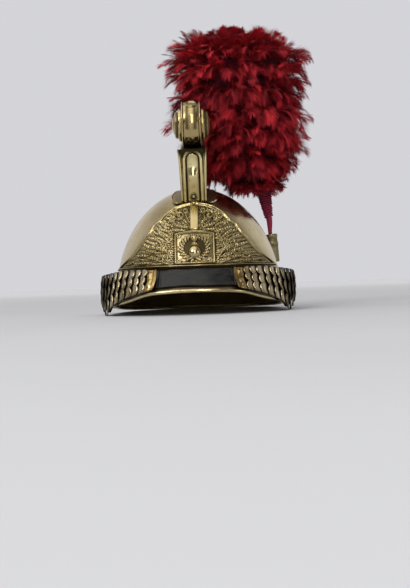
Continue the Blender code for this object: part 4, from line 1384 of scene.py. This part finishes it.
    def build_scroll(self) -> None:
        """The rolled band, with raised edges and a small ornament low on its front."""
        rim, half = self.scroll_radius, self.scroll_half
        across = np.linspace(-half, half, 61)
        inward = half - np.abs(across)
        crown = rim - 2.0 + 1.9 * arch(across, half - 1.7)
        bead = rim - 1.0 + arch(inward - 0.9, 0.9)
        face = np.where(inward < 1.8, bead, crown)
        profile = [(13.0, -half), *zip(face, across), (13.0, half)]
        inner, wall = rim - 3.2, half - 1.1
        profile += [(13.0, wall), (inner, wall), (inner, -wall), (13.0, -wall)]
        band = lathe(profile, self.scroll_middle, (1, 0, 0), 180, 0)
        off = band.points - np.asarray(self.scroll_middle)
        reach = np.hypot(off[:, 1], off[:, 2])
        turn = np.degrees(np.arctan2(off[:, 2], -off[:, 1]))
        outer_face = (reach > rim - 2.4) & (np.abs(off[:, 0]) < half - 2.0)
        low = np.hypot(off[:, 0] / 5.6, (turn + 58) / 13.0)
        high = np.hypot(off[:, 0] / 6.2, (turn - 52) / 15.0)
        petals = 0.7 * np.cos(5 * np.arctan2(turn + 58, off[:, 0] * 2.4)) * bell(low - 0.6, 0.3)
        ring = 0.8 * bell(high - 0.92, 0.12) - 0.7 * ramp(0.85 - high, 0, 0.2)
        lift = ramp(1.1 - low, 0, 0.2) * (0.3 + petals) + ring
        band.points[:, 1:] += (off[:, 1:] / reach[:, None]) * (lift * outer_face)[:, None]
        # Painted dark reflections in two bands beside the middle of the band's face, and darker ornaments low
        # on the front and on the ring above.
        shade = 0.85 * bell(np.abs(off[:, 0]) - 4.3, 2.3) * ramp(turn, -25, -20) * ramp(48 - turn, 0, 14)
        shade = shade + 0.75 * ramp(1.1 - low, 0, 0.15) + 0.6 * bell(high - 1.12, 0.1)
        shade = shade + 0.35 * ramp(0.9 - high, 0, 0.1)
        # Darker grooves inside the raised edges, and painted shade on the band's underside.
        groove = bell(half - np.abs(off[:, 0]) - 2.0, 0.35) + ramp(-turn, 74, 80)
        band.darkened((shade + groove) * (reach > rim - 3.0))
        make_piece("crest_scroll", band, SCROLL_BRASS, ["crest_scroll_band"], sharp=50)

    def build_discs(self) -> None:
        """The stepped discs at the scroll's two ends."""
        start, reach_out = self.scroll_half + 0.3, self.disc_reach
        disc = [
            (self.disc_radius, start), (self.disc_radius, start + 2.4), (self.disc_radius - 0.5, start + 3.6),
            (15.2, start + 4.2), (14.7, start + 5.2), (14.5, start + 7.2), (13.4, start + 8.1),
            (10.4, start + 8.5), (9.6, start + 9.3), (6.0, start + 10.3), (4.6, reach_out),
            (0, reach_out), (0, reach_out - 1.2),
            (9.0, start + 7.2), (13.2, start + 6.2), (13.6, start + 3.4), (16.2, start + 2.6), (16.2, start),
        ]
        made = lathe(disc, self.scroll_middle, (1, 0, 0), 96, 1)
        off = made.points - np.asarray(self.scroll_middle)
        away = np.hypot(off[:, 1], off[:, 2])
        # Painted shade in the gaps between the disc's steps.
        made.darkened(0.95 * bell(away - 14.9, 0.6) + 0.9 * bell(away - 10.0, 0.5))
        for side in Side:
            name = f"crest_roundel_{side.value}"
            make_piece(name, side.turned(made), SCROLL_BRASS, [f"crest_disc_{side.value}"], sharp=50)


@dataclass
class ChinStrap:
    """The scaled strap worn up over the visor: scales on leather, end plates, ear bosses.

    The path's rows hold the length along it, then the turn in degrees, the distance outside the
    skull and the height, first of its lower edge and then of its upper one.
    """

    skull: Skull = field(default_factory=Skull)
    path: Table = (
        (0, 20.9, 25.8, 25.8, 23.2, 8.1, 48.6), (22, 29.5, 25.6, 21.6, 32.3, 9.6, 49.0),
        (44, 39.3, 24.8, 16.2, 42.4, 10.9, 49.4), (68, 49.4, 23.4, 8.0, 51.9, 13.0, 48.8),
        (86, 57.0, 20.6, -1.05, 59.2, 14.6, 47.9), (92, 59.5, 19.6, 0.0, 61.7, 15.1, 47.6),
        (114, 68.6, 17.1, 7.0, 69.8, 15.7, 46.4), (135, 77.3, 14.0, 11.5, 77.7, 13.6, 45.2),
        (158, 85.8, 11.4, 14.5, 85.8, 11.4, 44.0),
    )
    leather: float = 2.0
    scales: int = 12
    scale_length: float = 14.0
    scale_sheet: float = 0.8
    end_sheet: float = 1.0
    seeds: dict[Side, int] = field(default_factory=lambda: {Side.LEFT: 5, Side.RIGHT: 6})
    lobes: int = 3
    span: tuple[float, float] = (0.36, 0.38)
    boss_middle: tuple[float, float] = (5.8, 24.0)
    boss_radius: float = 15.0

    def build(self) -> None:
        """Makes the whole strap."""
        for side in Side:
            self.build_scales(side)
            self.build_end(side)
            self.build_backing(side)
            self.build_boss(side)
        self.build_front_strap()

    def point(self, length: Array, up: Array, out: Array | float) -> Array:
        """Points outside the strap's face.

        Args:
            length: how far along it from its front end they are.
            up: from 0 at its lower edge to 1 at its upper one.
            out: how far outside its face they are.

        Returns:
            The points.
        """
        length, up, out = np.broadcast_arrays(*(np.asarray(v, float) for v in (length, up, out)))

        def face(length: Array, up: Array) -> Array:
            """Points on the face.

            Args:
                length: as above.
                up: as above.

            Returns:
                The points.
            """
            row = curve(self.path, length)
            edges = []
            for k in (0, 3):
                beside = self.skull.shape.beside(row[..., k], row[..., k + 1])
                edges.append(np.concatenate([beside, row[..., k + 2, None]], axis=-1))
            return edges[0] * (1 - up[..., None]) + edges[1] * up[..., None]

        near = np.clip(length, 1.5, self.path[-1][0] - 1.5)
        ahead = face(near + 1, up) - face(near - 1, up)
        normal = unit(np.cross(ahead, face(near, np.ones_like(up)) - face(near, np.zeros_like(up))))
        start = face(length, up) + unit(ahead) * np.minimum(length, 0.0)[..., None]
        return start + normal * out[..., None]

    def rear_shade(self, number: int) -> float:
        """How much painted shade darkens a scale's face: the rear ones most, as they face away from the
        light.
        """
        return float(ramp(number, 4.5, 7.5))

    def build_scales(self, side: Side) -> None:
        """One side's overlapping scales, each lobed towards the front, with painted shade under the next.

        Args:
            side: the wearer's left or right.
        """
        chance = np.random.default_rng(self.seeds[side])
        ups, shares = np.meshgrid(np.linspace(0, 1, 61), np.linspace(0, 1, 12) ** 1.2, indexing="ij")
        for i in range(self.scales):
            free = 9.0 + 9.0 * i + 0.28 * i * i
            arcs = np.abs(np.sin(ups * self.lobes * math.pi)) ** 0.85
            notch = 3.0 * (1 - arcs)
            wobble = 0.5 * np.sin(ups * 9 + chance.uniform(0, 6)) + chance.uniform(-0.3, 0.3)
            length = free + notch + wobble * (1 - shares) + (self.scale_length - notch) * shares
            tuck = np.sqrt(np.sin(np.pi * np.clip(ups, 0.004, 0.996)))
            ripple = 0.3 * np.sin(ups * 23 + i) * chance.uniform(0.2, 1.0) + 0.3 * arcs
            lip = -1.2 * bell(shares, 0.05)
            out = 0.5 + (1.2 + 2.6 * tuck + ripple) * (1 - shares) + lip
            across = 0.02 + 0.96 * ups
            rear_shading = self.rear_shade(i)
            # Painted shade under the next scale and in the notches between the lobes, painted shade over the
            # rear scales, and a painted highlight along their free edge.
            dark = ramp(shares, 0.50, 0.64) + rear_shading + 0.5 * (1 - arcs) * (1 - shares) ** 2
            dark = np.clip(dark, 0, 1) - 0.35 * rear_shading * bell(shares - 0.05, 0.05) * arcs
            faces = [self.point(length, across, out + above) for above in (self.scale_sheet, 0.0)]
            node = f"scale_{side.value}_{i + 1:02d}"
            data = side.turned(shell(*faces).darkened(dark))
            make_piece(f"lobed_{node}", data, SCALE_BRASS, [node], sharp=60)

    def build_end(self, side: Side) -> None:
        """The curled plate that ends the scales, with two bumps and a rolled front edge.

        Args:
            side: the wearer's left or right.
        """
        ups, shares = np.meshgrid(np.linspace(0, 1, 49), np.linspace(0, 1, 33), indexing="ij")
        curl = 1.5 * np.sin(np.pi * shares) * np.sqrt(np.sin(np.pi * ups))
        bumps = 1.1 * np.sin(2 * np.pi * ups) ** 2 * bell(shares - 0.55, 0.35)
        edge = 1.8 * np.sin(np.pi * ups) * (1 - shares)
        roll = 0.9 * bell(shares, 0.12) + 0.5 * bell(ups, 0.06) + 0.5 * bell(1 - ups, 0.06)
        out = 0.6 + curl + bumps + roll
        length = -2.4 - edge + 13.4 * shares
        across = 0.03 + 0.92 * ups
        # Darker lines behind the rolled edge and between the two bumps.
        dark = 0.8 * bell(shares - 0.24, 0.07) + 0.7 * bell(ups - 0.5, 0.05) * ramp(shares, 0.2, 0.5)
        # Painted shade where the plate meets and runs under the first scale.
        dark = dark + 0.8 * ramp(shares, 0.75, 1)
        faces = [self.point(length, across, out + above) for above in (self.end_sheet, 0.0)]
        data = side.turned(shell(*faces).darkened(dark))
        make_piece(f"strap_end_{side.value}", data, END_BRASS, [f"scale_end_{side.value}"], sharp=60)

    def build_backing(self, side: Side) -> None:
        """The leather under one side's scales.

        Args:
            side: the wearer's left or right.
        """
        along = np.linspace(9, self.path[-1][0], 70)
        lengths, ups = np.meshgrid(along, np.linspace(0.1, 0.9, 15), indexing="ij")
        grain = 0.15 * np.sin(lengths * 0.9) * np.sin(ups * 8)
        data = shell(self.point(lengths, ups, grain - 0.15), self.point(lengths, ups, -self.leather))
        node = f"scale_leather_{side.value}"
        make_piece(f"backing_{node}", side.turned(data), DARK_LEATHER, [node])

    def build_front_strap(self) -> None:
        """The plain stretch over the visor, creased, with ribbed ends."""
        low, high = -self.span[0], self.span[1]
        shares, downs = np.meshgrid(np.linspace(low, high, 170), np.linspace(0.10, 0.82, 28), indexing="ij")
        edges = bell(downs - 0.10, 0.035) + bell(downs - 0.82, 0.035)
        folds = 0.35 * np.sin(shares * 31 + downs * 4) * np.sin(downs * 7 + 1.0)
        folds = folds + 0.18 * bell(downs - 0.58 - 0.13 * np.cos(shares * 14 - 1.2), 0.05)
        folds = folds - 0.18 * bell(downs - 0.47 - 0.10 * np.cos(shares * 14 - 0.8), 0.06)
        ends = ramp(np.abs(shares - (low + high) / 2), 0.275, 0.30)
        ribs = 0.5 * ends * np.sin(shares * 300)
        out = 0.6 + self.leather + 0.45 + folds * (1 - ends) + ribs - 0.4 * edges
        bend = 0.012 * np.sin(shares * 17) * (downs - 0.1) / 0.72
        outer = self.skull.visor_at(shares, downs + bend, out)
        inner = self.skull.visor_at(shares, downs + bend, 0.6)
        make_piece("front_strap_leather", shell(outer, inner), DARK_LEATHER, ["front_strap"], sharp=60)

    def build_boss(self, side: Side) -> None:
        """The domed disc at one ear, with rings round its face.

        Args:
            side: the wearer's left or right.
        """
        y, z = self.boss_middle
        angle = 90 + math.degrees(math.asin(y / self.skull.shape.half_length))
        foot = float(self.skull.shape.point(angle, z)[0]) + 0.9
        r = self.boss_radius
        profile = [
            (0, foot), (4, foot), (4, 106.4), (r - 1, 107.2), (r, 107.9), (r, 108.6), (r - 0.8, 109.7),
            (13.2, 109.4), (12.6, 110.4), (11.0, 111.2), (10.0, 110.7), (9.2, 111.5), (5.0, 113.2),
            (2.0, 113.6), (0, 113.6),
        ]
        made = lathe(profile, (0, y, z), (1, 0, 0), 72, 1)
        off_y, off_z = made.points[:, 1] - y, made.points[:, 2] - z
        away = np.hypot(off_y, off_z)
        petals = 0.3 * np.cos(12 * np.arctan2(off_z, off_y)) * bell(away - 6.5, 2.4)
        made.points[:, 0] += petals * (made.points[:, 0] > 110.5)
        made.darkened(0.8 * bell(away - 13.2, 0.5) + 0.7 * bell(away - 10.0, 0.6))
        name = f"ear_roundel_{side.value}"
        make_piece(name, side.turned(made), SCALE_BRASS, [f"ear_boss_{side.value}"], sharp=55)


@dataclass
class Plume:
    """The plume: its tube on the skull, stem, wound thread and about 1,700 curled feathers.

    The rows hold a height, then the body's middle and half width across, and its middle and half
    depth along. The leans are in degrees from upright, at a feather's root and at its tip.
    """

    shape: SkullShape = field(default_factory=SkullShape)
    y: float = 40.0
    socket_bottom: tuple[float, float] = (95.3, 57.0)
    socket_top: tuple[float, float] = (92.2, 92.0)
    socket_radius: float = 7.4
    stem: Table = ((74.6, 93.7, 2.2), (93.0, 90.9, 2.4), (109.3, 90.4, 3.7), (113.6, 89.9, 4.0))
    winding_bottom: tuple[float, float, float] = (89.7, 114.0, 5.6)
    winding_top: tuple[float, float, float] = (84.0, 151.0, 10.4)
    winding_turns: float = 13.0
    rows: Table = (
        (152.7, 83, 11, 42, 11), (159, 69, 29, 44, 27), (168, 63, 37, 47, 34), (184, 62, 45, 48, 41),
        (202, 62, 56, 46, 49), (222, 62, 64, 42, 54), (243, 57, 68, 40, 56), (262, 54, 68, 40, 55),
        (282, 57, 70, 40, 54), (300, 55, 75, 40, 52), (316, 54, 76, 40, 47), (330, 51, 63, 40, 39),
        (341, 46, 42, 40, 28), (350, 46, 22, 40, 15), (354, 50, 7, 40, 6),
    )
    tufts: int = 1700
    barbs: int = 130
    tiers: int = 8
    pieces: int = 4
    core_share: float = 0.74
    lean_levels: tuple[float, ...] = (0.0, 0.10, 0.35, 0.70, 0.88, 1.0)
    lean_first: tuple[float, ...] = (5, 15, 30, 45, 75, 88)
    lean_last: tuple[float, ...] = (-25, -60, -70, -55, 5, 62)
    seed: int = 11
    root_depth: tuple[float, float] = (0.52, 0.86)
    barb_width: tuple[float, float] = (0.34, 0.62)
    stray_share: float = 0.16
    stray_length: float = 1.22
    stray_width: float = 0.55
    shortest: float = 26.0
    longest: float = 42.0
    most_x: float = 147.0
    most_z: float = 344.0

    def build(self) -> None:
        """Makes the tube, bracket, stem, thread and feathers."""
        self.build_socket()
        self.build_bracket()
        self.build_stem()
        self.build_winding()
        self.build_core()
        self.build_tufts()

    def build_socket(self) -> None:
        """The tube, with two raised bands round its mouth."""
        low = np.array((self.socket_bottom[0], self.y, self.socket_bottom[1]))
        high = np.array((self.socket_top[0], self.y, self.socket_top[1]))
        tall = float(np.linalg.norm(high - low))
        r = self.socket_radius
        profile = [
            (0, 0), (r - 1.6, 0), (r - 1.0, 0.9), (r - 0.5, tall - 14), (r, tall - 13), (r, tall - 10.4),
            (r - 0.7, tall - 9.6), (r - 0.7, tall - 4.8), (r, tall - 4.0), (r, tall - 0.8), (r - 0.8, tall),
            (4.6, tall), (4.0, tall - 18), (0, tall - 18),
        ]
        made = lathe(profile, low, high - low, 64, 1)
        along = (made.points - low) @ unit(high - low)
        made.values["patina_and_shade"] = 0.8 * bell(along - tall + 7.2, 1.6) + 0.6 * bell(along - tall + 14.2, 0.6)
        make_piece("plume_tube", made, SOCKET_BRASS, ["plume_socket"], sharp=50)

    def build_bracket(self) -> None:
        """The block that joins the tube to the skull."""
        along = np.linspace(self.y - 4, self.y + 4, 9)
        heights, ys = np.meshgrid(np.linspace(75, 83, 9), along, indexing="ij")
        share = (heights - self.socket_bottom[1]) / (self.socket_top[1] - self.socket_bottom[1])
        axis_x = self.socket_bottom[0] + (self.socket_top[0] - self.socket_bottom[0]) * share
        level = 1 - ((heights - self.shape.base) / self.shape.rise) ** 2 - (ys / self.shape.half_length) ** 2
        inner_x = self.shape.half_width * np.sqrt(level) + 0.7
        outer = np.stack([axis_x - self.socket_radius + 0.3, ys, heights], axis=-1)
        inner = np.stack([inner_x, ys, heights], axis=-1)
        make_piece("plume_bracket", shell(outer, inner), SOCKET_BRASS, ["socket_bracket"], sharp=40)

    def build_stem(self) -> None:
        """The bound quills between the tube and the thread."""
        heights = np.linspace(self.stem[0][0], self.stem[-1][0], 60)
        values = curve(self.stem, heights)
        path = np.stack([values[:, 0], np.full(60, self.y), heights], axis=-1)
        made = tube(path, values[:, 1], 24, (0, 1, 0))
        turn = np.arctan2(made.points[:, 1] - self.y, made.points[:, 0] - 90)
        made.values["tone"] = 0.75 + 0.25 * np.sin(turn * 7 + made.points[:, 2] * 0.4)
        make_piece("plume_quills", made, RED_THREAD, ["plume_stem"])

    def build_winding(self) -> None:
        """A core and the thread wound round it in close turns."""
        low = np.array((self.winding_bottom[0], self.y, self.winding_bottom[1]))
        high = np.array((self.winding_top[0], self.y, self.winding_top[1]))
        way = unit(high - low)
        across = unit(np.cross(way, (0, 1, 0)))
        other = np.cross(way, across)
        tall = float(np.linalg.norm(high - low))
        shares = np.linspace(0.0, 1.0, 600)
        radii = self.winding_bottom[2] + (self.winding_top[2] - self.winding_bottom[2]) * shares
        turns = shares * self.winding_turns * 2 * math.pi
        wander = 0.3 * np.sin(turns * 0.37) + 0.25 * np.sin(turns * 1.3)
        ring = np.cos(turns)[:, None] * across + np.sin(turns)[:, None] * other
        path = low + way * (shares * tall + 0.25 * wander)[:, None]
        path = path + ring * (radii - 1.5 + 0.3 * wander)[:, None]
        thread = tube(path, 1.45 + 0.2 * np.sin(turns * 0.61), 10, way)
        # Painted light and shade round the thread: lighter on the side towards the winding's top, darker on
        # the side below.
        thread.values["tone"] = 0.55 + 0.35 * np.sin(np.arange(len(thread.points)) * 2 * math.pi / 10)
        narrow, wide = self.winding_bottom[2] - 1.9, self.winding_top[2] - 1.9
        core = lathe([(0, 0.4), (narrow, 0.4), (wide, tall - 0.3), (0, tall - 0.3)], low, way, 40, 0)
        # The core under the thread is nearly the darkest tone: painted shade in the gaps between the turns.
        core.values["tone"] = np.full(len(core.points), 0.05)
        make_piece("plume_thread", thread.joined(core), RED_THREAD, ["plume_winding"])

    def body_at(self, turn: Array, height: Array, share: Array | float) -> tuple[Array, Array]:
        """Points in the plume's body and the way out from there.

        Args:
            turn: angle from the wearer's left.
            height: height above the ground.
            share: how far out from the middle, 1 on the surface.

        Returns:
            The points, and the level directions out of the body.
        """
        row = curve(self.rows, height)
        x, half, y, deep = (row[..., k] for k in range(4))
        level = (height - self.rows[0][0]) / (self.rows[-1][0] - self.rows[0][0])
        swell = 1 + 0.05 * np.sin(3 * turn + level * 12) + 0.04 * np.sin(5 * turn - level * 22)
        reach = swell * share
        across, along = np.cos(turn), np.sin(turn)
        place = np.stack([x + half * reach * across, y + deep * reach * along, height + 0 * x], axis=-1)
        return place, unit(np.stack([across * deep, along * half, 0 * turn], axis=-1))

    def build_core(self) -> None:
        """A dark mass in the middle that the feathers spring from: painted shade for the plume's shaded
        inside.
        """
        turns = np.linspace(0, 2 * math.pi, 73)[:-1]
        shares, turns = np.meshgrid(np.linspace(0, 1, 50), turns, indexing="ij")
        low, high = self.rows[0][0] - 1.0, self.rows[-1][0] - 14
        heights = low + (high - low) * shares
        lumps = 0.05 * np.sin(turns * 9 + heights * 0.31) * np.sin(heights * 0.23)
        lumps = lumps + 0.04 * np.sin(turns * 17 - heights * 0.5)
        points, _ = self.body_at(turns, heights, self.core_share + lumps)
        data = closed_rings(points, points[[0, -1]].mean(axis=1))
        # The darkest tone: painted shade.
        data.values["tone"] = np.full(len(data.points), -0.1)
        make_piece("plume_shade_core", data, RED_FEATHER, ["plume_feathers"])

    def build_tufts(self) -> None:
        """Curled feathers over the whole body, each made of barbs in a leaf shape along its shaft."""
        chance = np.random.default_rng(self.seed)
        count = self.tufts
        low, high = self.rows[0][0], self.rows[-1][0]
        heights = np.linspace(low, high, 400)
        table = curve(self.rows, heights)
        slope = np.gradient(table[:, 1] + table[:, 3], heights) / 2
        girth = (table[:, 1] + table[:, 3] + 6) * np.minimum(np.hypot(1, slope), 4.0)
        share = np.cumsum(girth) / girth.sum()
        place = chance.uniform(0, 1, count)
        tier = np.round(place * self.tiers) / self.tiers
        height = np.interp(np.clip(0.45 * place + 0.55 * tier, 0, 1), share, heights)
        turn = chance.uniform(0, 2 * math.pi, count)
        level = (height - low) / (high - low)
        root, out = self.body_at(turn, height, chance.uniform(*self.root_depth, count))
        root[:, 2] -= np.interp(level, (0.72, 0.90, 0.955, 0.985, 1.0), (0, 26, 32, 20, 12))
        up = np.array((0.0, 0.0, 1.0))
        side = np.cross(up, out)
        heading = chance.normal(0, 0.85, count)
        ahead = out * np.cos(heading)[:, None] + side * np.sin(heading)[:, None]
        first = np.interp(level, self.lean_levels, self.lean_first) + chance.normal(0, 16, count)
        last = np.interp(level, self.lean_levels, self.lean_last) + chance.normal(0, 26, count)
        first, last = np.radians(first), np.radians(last) + 0.001
        stray = chance.uniform(0, 1, count) < self.stray_share
        length = chance.uniform(self.shortest, self.longest, count)
        length *= np.interp(level, (0, 0.10, 0.25, 0.90, 0.96, 1), (0.55, 0.85, 1, 1, 0.7, 0.5))
        length *= np.where(stray, self.stray_length, 1.0)
        width = chance.uniform(12, 19, count) * np.interp(level, (0, 0.10, 0.9, 1), (0.6, 1, 1, 0.8))
        width *= np.where(stray, self.stray_width, 1.0)
        tint_and_shade = np.clip(chance.normal(0.0, 0.12, count), -0.3, 0.3)
        # Painted shade in bands between the tiers: feathers at a tier's middle are lighter, those between
        # tiers darker.
        tint_and_shade += 0.16 * np.cos((place - tier) * self.tiers * 2 * math.pi)
        steps = (np.arange(self.barbs) // 2 + 0.5) / (self.barbs / 2)
        hand = np.where(np.arange(self.barbs) % 2, 1.0, -1.0)
        along = 0.10 + 0.90 * steps[None] + chance.uniform(-0.01, 0.01, (count, self.barbs))
        sweep = (last - first)[:, None]

        def shaft(t: Array) -> Array:
            """Points on each feather's shaft, an arc from its first lean to its last.

            Args:
                t: how far along the shaft, for each barb of each feather.

            Returns:
                The points.
            """
            lean = first[:, None] + sweep * t
            level_run = (np.sin(lean) - np.sin(first)[:, None]) / sweep
            upright = (np.cos(first)[:, None] - np.cos(lean)) / sweep
            run = ahead[:, None] * level_run[..., None] + up * upright[..., None]
            return root[:, None] + run * length[:, None, None]

        start = shaft(along)
        tangent = unit(shaft(along + 0.02) - start)
        across = np.cross(up, ahead)
        twist = chance.normal(0, 0.45, count)[:, None, None] * (0.4 + along[..., None])
        flat = across[:, None] + 0 * tangent
        face = unit(np.cross(tangent, flat))
        flat, face = flat * np.cos(twist) + face * np.sin(twist), face * np.cos(twist) - flat * np.sin(twist)
        spread = np.interp(along, (0.14, 0.35, 0.75, 1.0), (0.55, 1.0, 0.85, 0.35))
        reach = width[:, None] * spread * chance.uniform(0.7, 1.2, (count, self.barbs))
        lean = np.interp(along, (0.14, 0.7, 1.0), (0.9, 1.7, 4.2))
        stir = face * chance.normal(0, 0.14, lean.shape)[..., None]
        barb = unit(flat * hand[None, :, None] + tangent * lean[..., None] + stir)
        sag = -up * 0.30 + face * chance.normal(-0.05, 0.20, lean.shape)[..., None] + tangent * 0.35
        middle = start + barb * (reach * 0.5)[..., None] + sag * (reach * 0.13)[..., None]
        tip = start + barb * reach[..., None] + sag * (reach * 0.52)[..., None]
        wide = unit(np.cross(barb, face))
        thick = chance.uniform(*self.barb_width, lean.shape)[..., None]
        corners = np.stack([start, middle + wide * 0.5 * thick, tip, middle - wide * 0.5 * thick], axis=2)
        for axis, most in ((0, self.most_x), (2, self.most_z)):
            corners[..., axis] -= 0.6 * np.maximum(corners[..., axis] - most, 0.0)
        # Painted shade towards each feather's root, deep in the plume, lighter towards its tip; each barb is
        # darker at its root and at its tip.
        depth = np.clip(0.30 + 0.40 * along, 0, 1) + tint_and_shade[:, None]
        tone = depth[..., None] + np.array((-0.16, 0.06, -0.10, 0.06))
        for part in range(self.pieces):
            chosen = np.arange(part, count, self.pieces)
            points = corners[chosen].reshape(-1, 3)
            data = MeshData(points, np.arange(len(points)).reshape(-1, 4))
            data.values["tone"] = tone[chosen].ravel()
            make_piece(f"plume_tufts_{part + 1}", data, RED_FEATHER, sharp=180)


@dataclass
class Studio:
    """The floor, the light and the camera, in metres, watts and degrees.

    The photo's focal length is in its own pixels. The camera's place is from the helmet's middle:
    how far back, to the right and up.
    """

    floor_radius: float = 30.0
    floor_corners: int = 96
    floor_tone: Colour = (0.60, 0.60, 0.61)
    far_tone: Colour = (0.85, 0.85, 0.86)
    pale_from: float = 0.6
    pale_to: float = 4.5
    room_stops: tuple[tuple[float, Colour], ...] = (
        (0.0, (0.11, 0.11, 0.115)), (0.5, (0.30, 0.30, 0.31)), (0.9, (0.66, 0.66, 0.69)),
    )
    middle: Place = (0.0, 0.0, 0.15)
    sun_power: float = 1.4
    sun_spread: float = 70.0
    sun_way: Place = (0.35, 0.30, -1.0)
    photo_height: float = 588.0
    focal_pixels: float = 800.0
    sensor_mm: float = 36.0
    camera_turn: float = 1.2
    camera_roll: float = -2.0
    camera_pitch: float = -0.645
    camera_back: float = 0.970
    camera_right: float = 0.0070
    camera_up: float = 0.031

    def build(self) -> None:
        """Makes all three."""
        self.build_floor()
        self.build_world()
        self.build_lights()
        self.build_camera()

    def build_floor(self) -> None:
        """A wide pale floor, paler still far away, where it meets the room."""
        turns = np.arange(self.floor_corners) * 2 * math.pi / self.floor_corners
        points = np.stack([np.cos(turns), np.sin(turns), 0 * turns], axis=1) * self.floor_radius
        mesh = bpy.data.meshes.new("studio_floor")
        mesh.from_pydata([tuple(p) for p in points], [], [tuple(range(self.floor_corners))])
        graph = Graph("floor_paint")
        darker = tuple(0.97 * part for part in self.floor_tone)
        soft = graph.spread(graph.noise(3.0, 3.0), 0.35, 0.65)
        reach = graph.add("ShaderNodeVectorMath", operation="LENGTH")
        graph.plug(graph.object_space, reach.inputs[0])
        away = graph.spread(reach.outputs["Value"], self.pale_from, self.pale_to)
        near = graph.blend(soft, self.floor_tone, darker)
        graph.shade(graph.blend(away, near, self.far_tone), "Base Color")
        graph.shade(graph.spread(graph.noise(40.0, 3.0), 0.3, 0.7, 0.75, 0.85), "Roughness")
        graph.shade(0.1, "Specular IOR Level")
        graph.bump(graph.noise(300.0, 2.0), 0.05, 0.2)
        mesh.materials.append(graph.made)
        floor = bpy.data.objects.new("studio_floor", mesh)
        bpy.context.scene.collection.objects.link(floor)

    def build_world(self) -> None:
        """A pale room: brightest behind the helmet, darker on the side that it faces."""
        world = bpy.data.worlds.new("studio_room")
        world.use_nodes = True
        bpy.context.scene.world = world
        tree = world.node_tree
        background = tree.nodes["Background"]
        way = tree.nodes.new("ShaderNodeTexCoord")
        split = tree.nodes.new("ShaderNodeSeparateXYZ")
        ramp_node = tree.nodes.new("ShaderNodeValToRGB")
        span = tree.nodes.new("ShaderNodeMapRange")
        span.inputs["From Min"].default_value = -1.0
        tree.links.new(way.outputs["Generated"], split.inputs["Vector"])
        tree.links.new(split.outputs["Y"], span.inputs["Value"])
        tree.links.new(span.outputs["Result"], ramp_node.inputs["Fac"])
        tree.links.new(ramp_node.outputs["Color"], background.inputs["Color"])
        stops = ramp_node.color_ramp.elements
        stops.new(self.room_stops[1][0])
        for stop, (place_at, tone) in zip(stops, self.room_stops):
            stop.position = place_at
            stop.color = (*tone, 1.0)
        background.inputs["Strength"].default_value = 1.0

    def area(self, name: str, place: Place, size: tuple[float, float], power: float) -> None:
        """A soft rectangular light that faces the helmet's middle.

        Args:
            name: the light's name.
            place: where it stands, in metres.
            size: its width and height in metres.
            power: its power in watts.
        """
        light = bpy.data.lights.new(name, "AREA")
        light.shape = "RECTANGLE"
        light.size, light.size_y = size
        light.energy = power
        lamp = bpy.data.objects.new(name, light)
        lamp.location = place
        way = Vector(self.middle) - Vector(place)
        lamp.rotation_euler = way.to_track_quat("-Z", "Y").to_euler()
        bpy.context.scene.collection.objects.link(lamp)

    def build_lights(self) -> None:
        """A large key at the upper left, a fill on the right, a narrow one in front and a soft sky."""
        self.area("key_light", (-1.15, -1.5, 1.35), (0.7, 0.8), 10.0)
        self.area("fill_light", (1.5, -1.3, 0.7), (0.5, 0.9), 3.5)
        self.area("front_light", (0.06, -1.9, 0.85), (0.20, 1.5), 7.0)
        light = bpy.data.lights.new("sky_light", "SUN")
        light.energy = self.sun_power
        light.angle = math.radians(self.sun_spread)
        lamp = bpy.data.objects.new("sky_light", light)
        lamp.rotation_euler = Vector(self.sun_way).to_track_quat("-Z", "Y").to_euler()
        bpy.context.scene.collection.objects.link(lamp)

    def build_camera(self) -> None:
        """The photograph's view: nearly level, turned a little and rolled by two degrees."""
        turn, roll, pitch = map(math.radians, (self.camera_turn, self.camera_roll, self.camera_pitch))
        back = Vector((math.sin(turn), -math.cos(turn), 0.0))
        right = Vector((math.cos(turn), math.sin(turn), 0.0))
        up = Vector((0.0, 0.0, 1.0))
        place = Vector(STAND_SHIFT * MM) + back * self.camera_back + right * self.camera_right
        place = place + up * self.camera_up
        behind = back * math.cos(pitch) - up * math.sin(pitch)
        upright = up * math.cos(pitch) + back * math.sin(pitch)
        across = right * math.cos(roll) + upright * math.sin(roll)
        over = upright * math.cos(roll) - right * math.sin(roll)
        lens = bpy.data.cameras.new("photo_view")
        lens.sensor_fit = "VERTICAL"
        lens.sensor_height = self.sensor_mm
        lens.lens = self.focal_pixels * self.sensor_mm / self.photo_height
        lens.clip_start = 0.01
        lens.clip_end = 200.0
        camera = bpy.data.objects.new("photo_view", lens)
        frame = Matrix((across, over, behind)).transposed().to_4x4()
        frame.translation = place
        camera.matrix_world = frame
        bpy.context.scene.collection.objects.link(camera)
        bpy.context.scene.camera = camera


def main() -> None:
    """Dresses every part of the helmet, then sets the stage."""
    logging.basicConfig(level=logging.INFO, format="%(name)s: %(message)s")
    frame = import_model()
    LOG.info("%d CAD nodes", len(frame["nodes"]))
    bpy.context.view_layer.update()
    skull = Skull()
    for group in (skull, FrontPlate(), Crest(), ChinStrap(skull=skull), Plume(), Studio()):
        group.build()
    bpy.context.scene.view_settings.view_transform = "Standard"


if __name__ == "__main__":
    main()
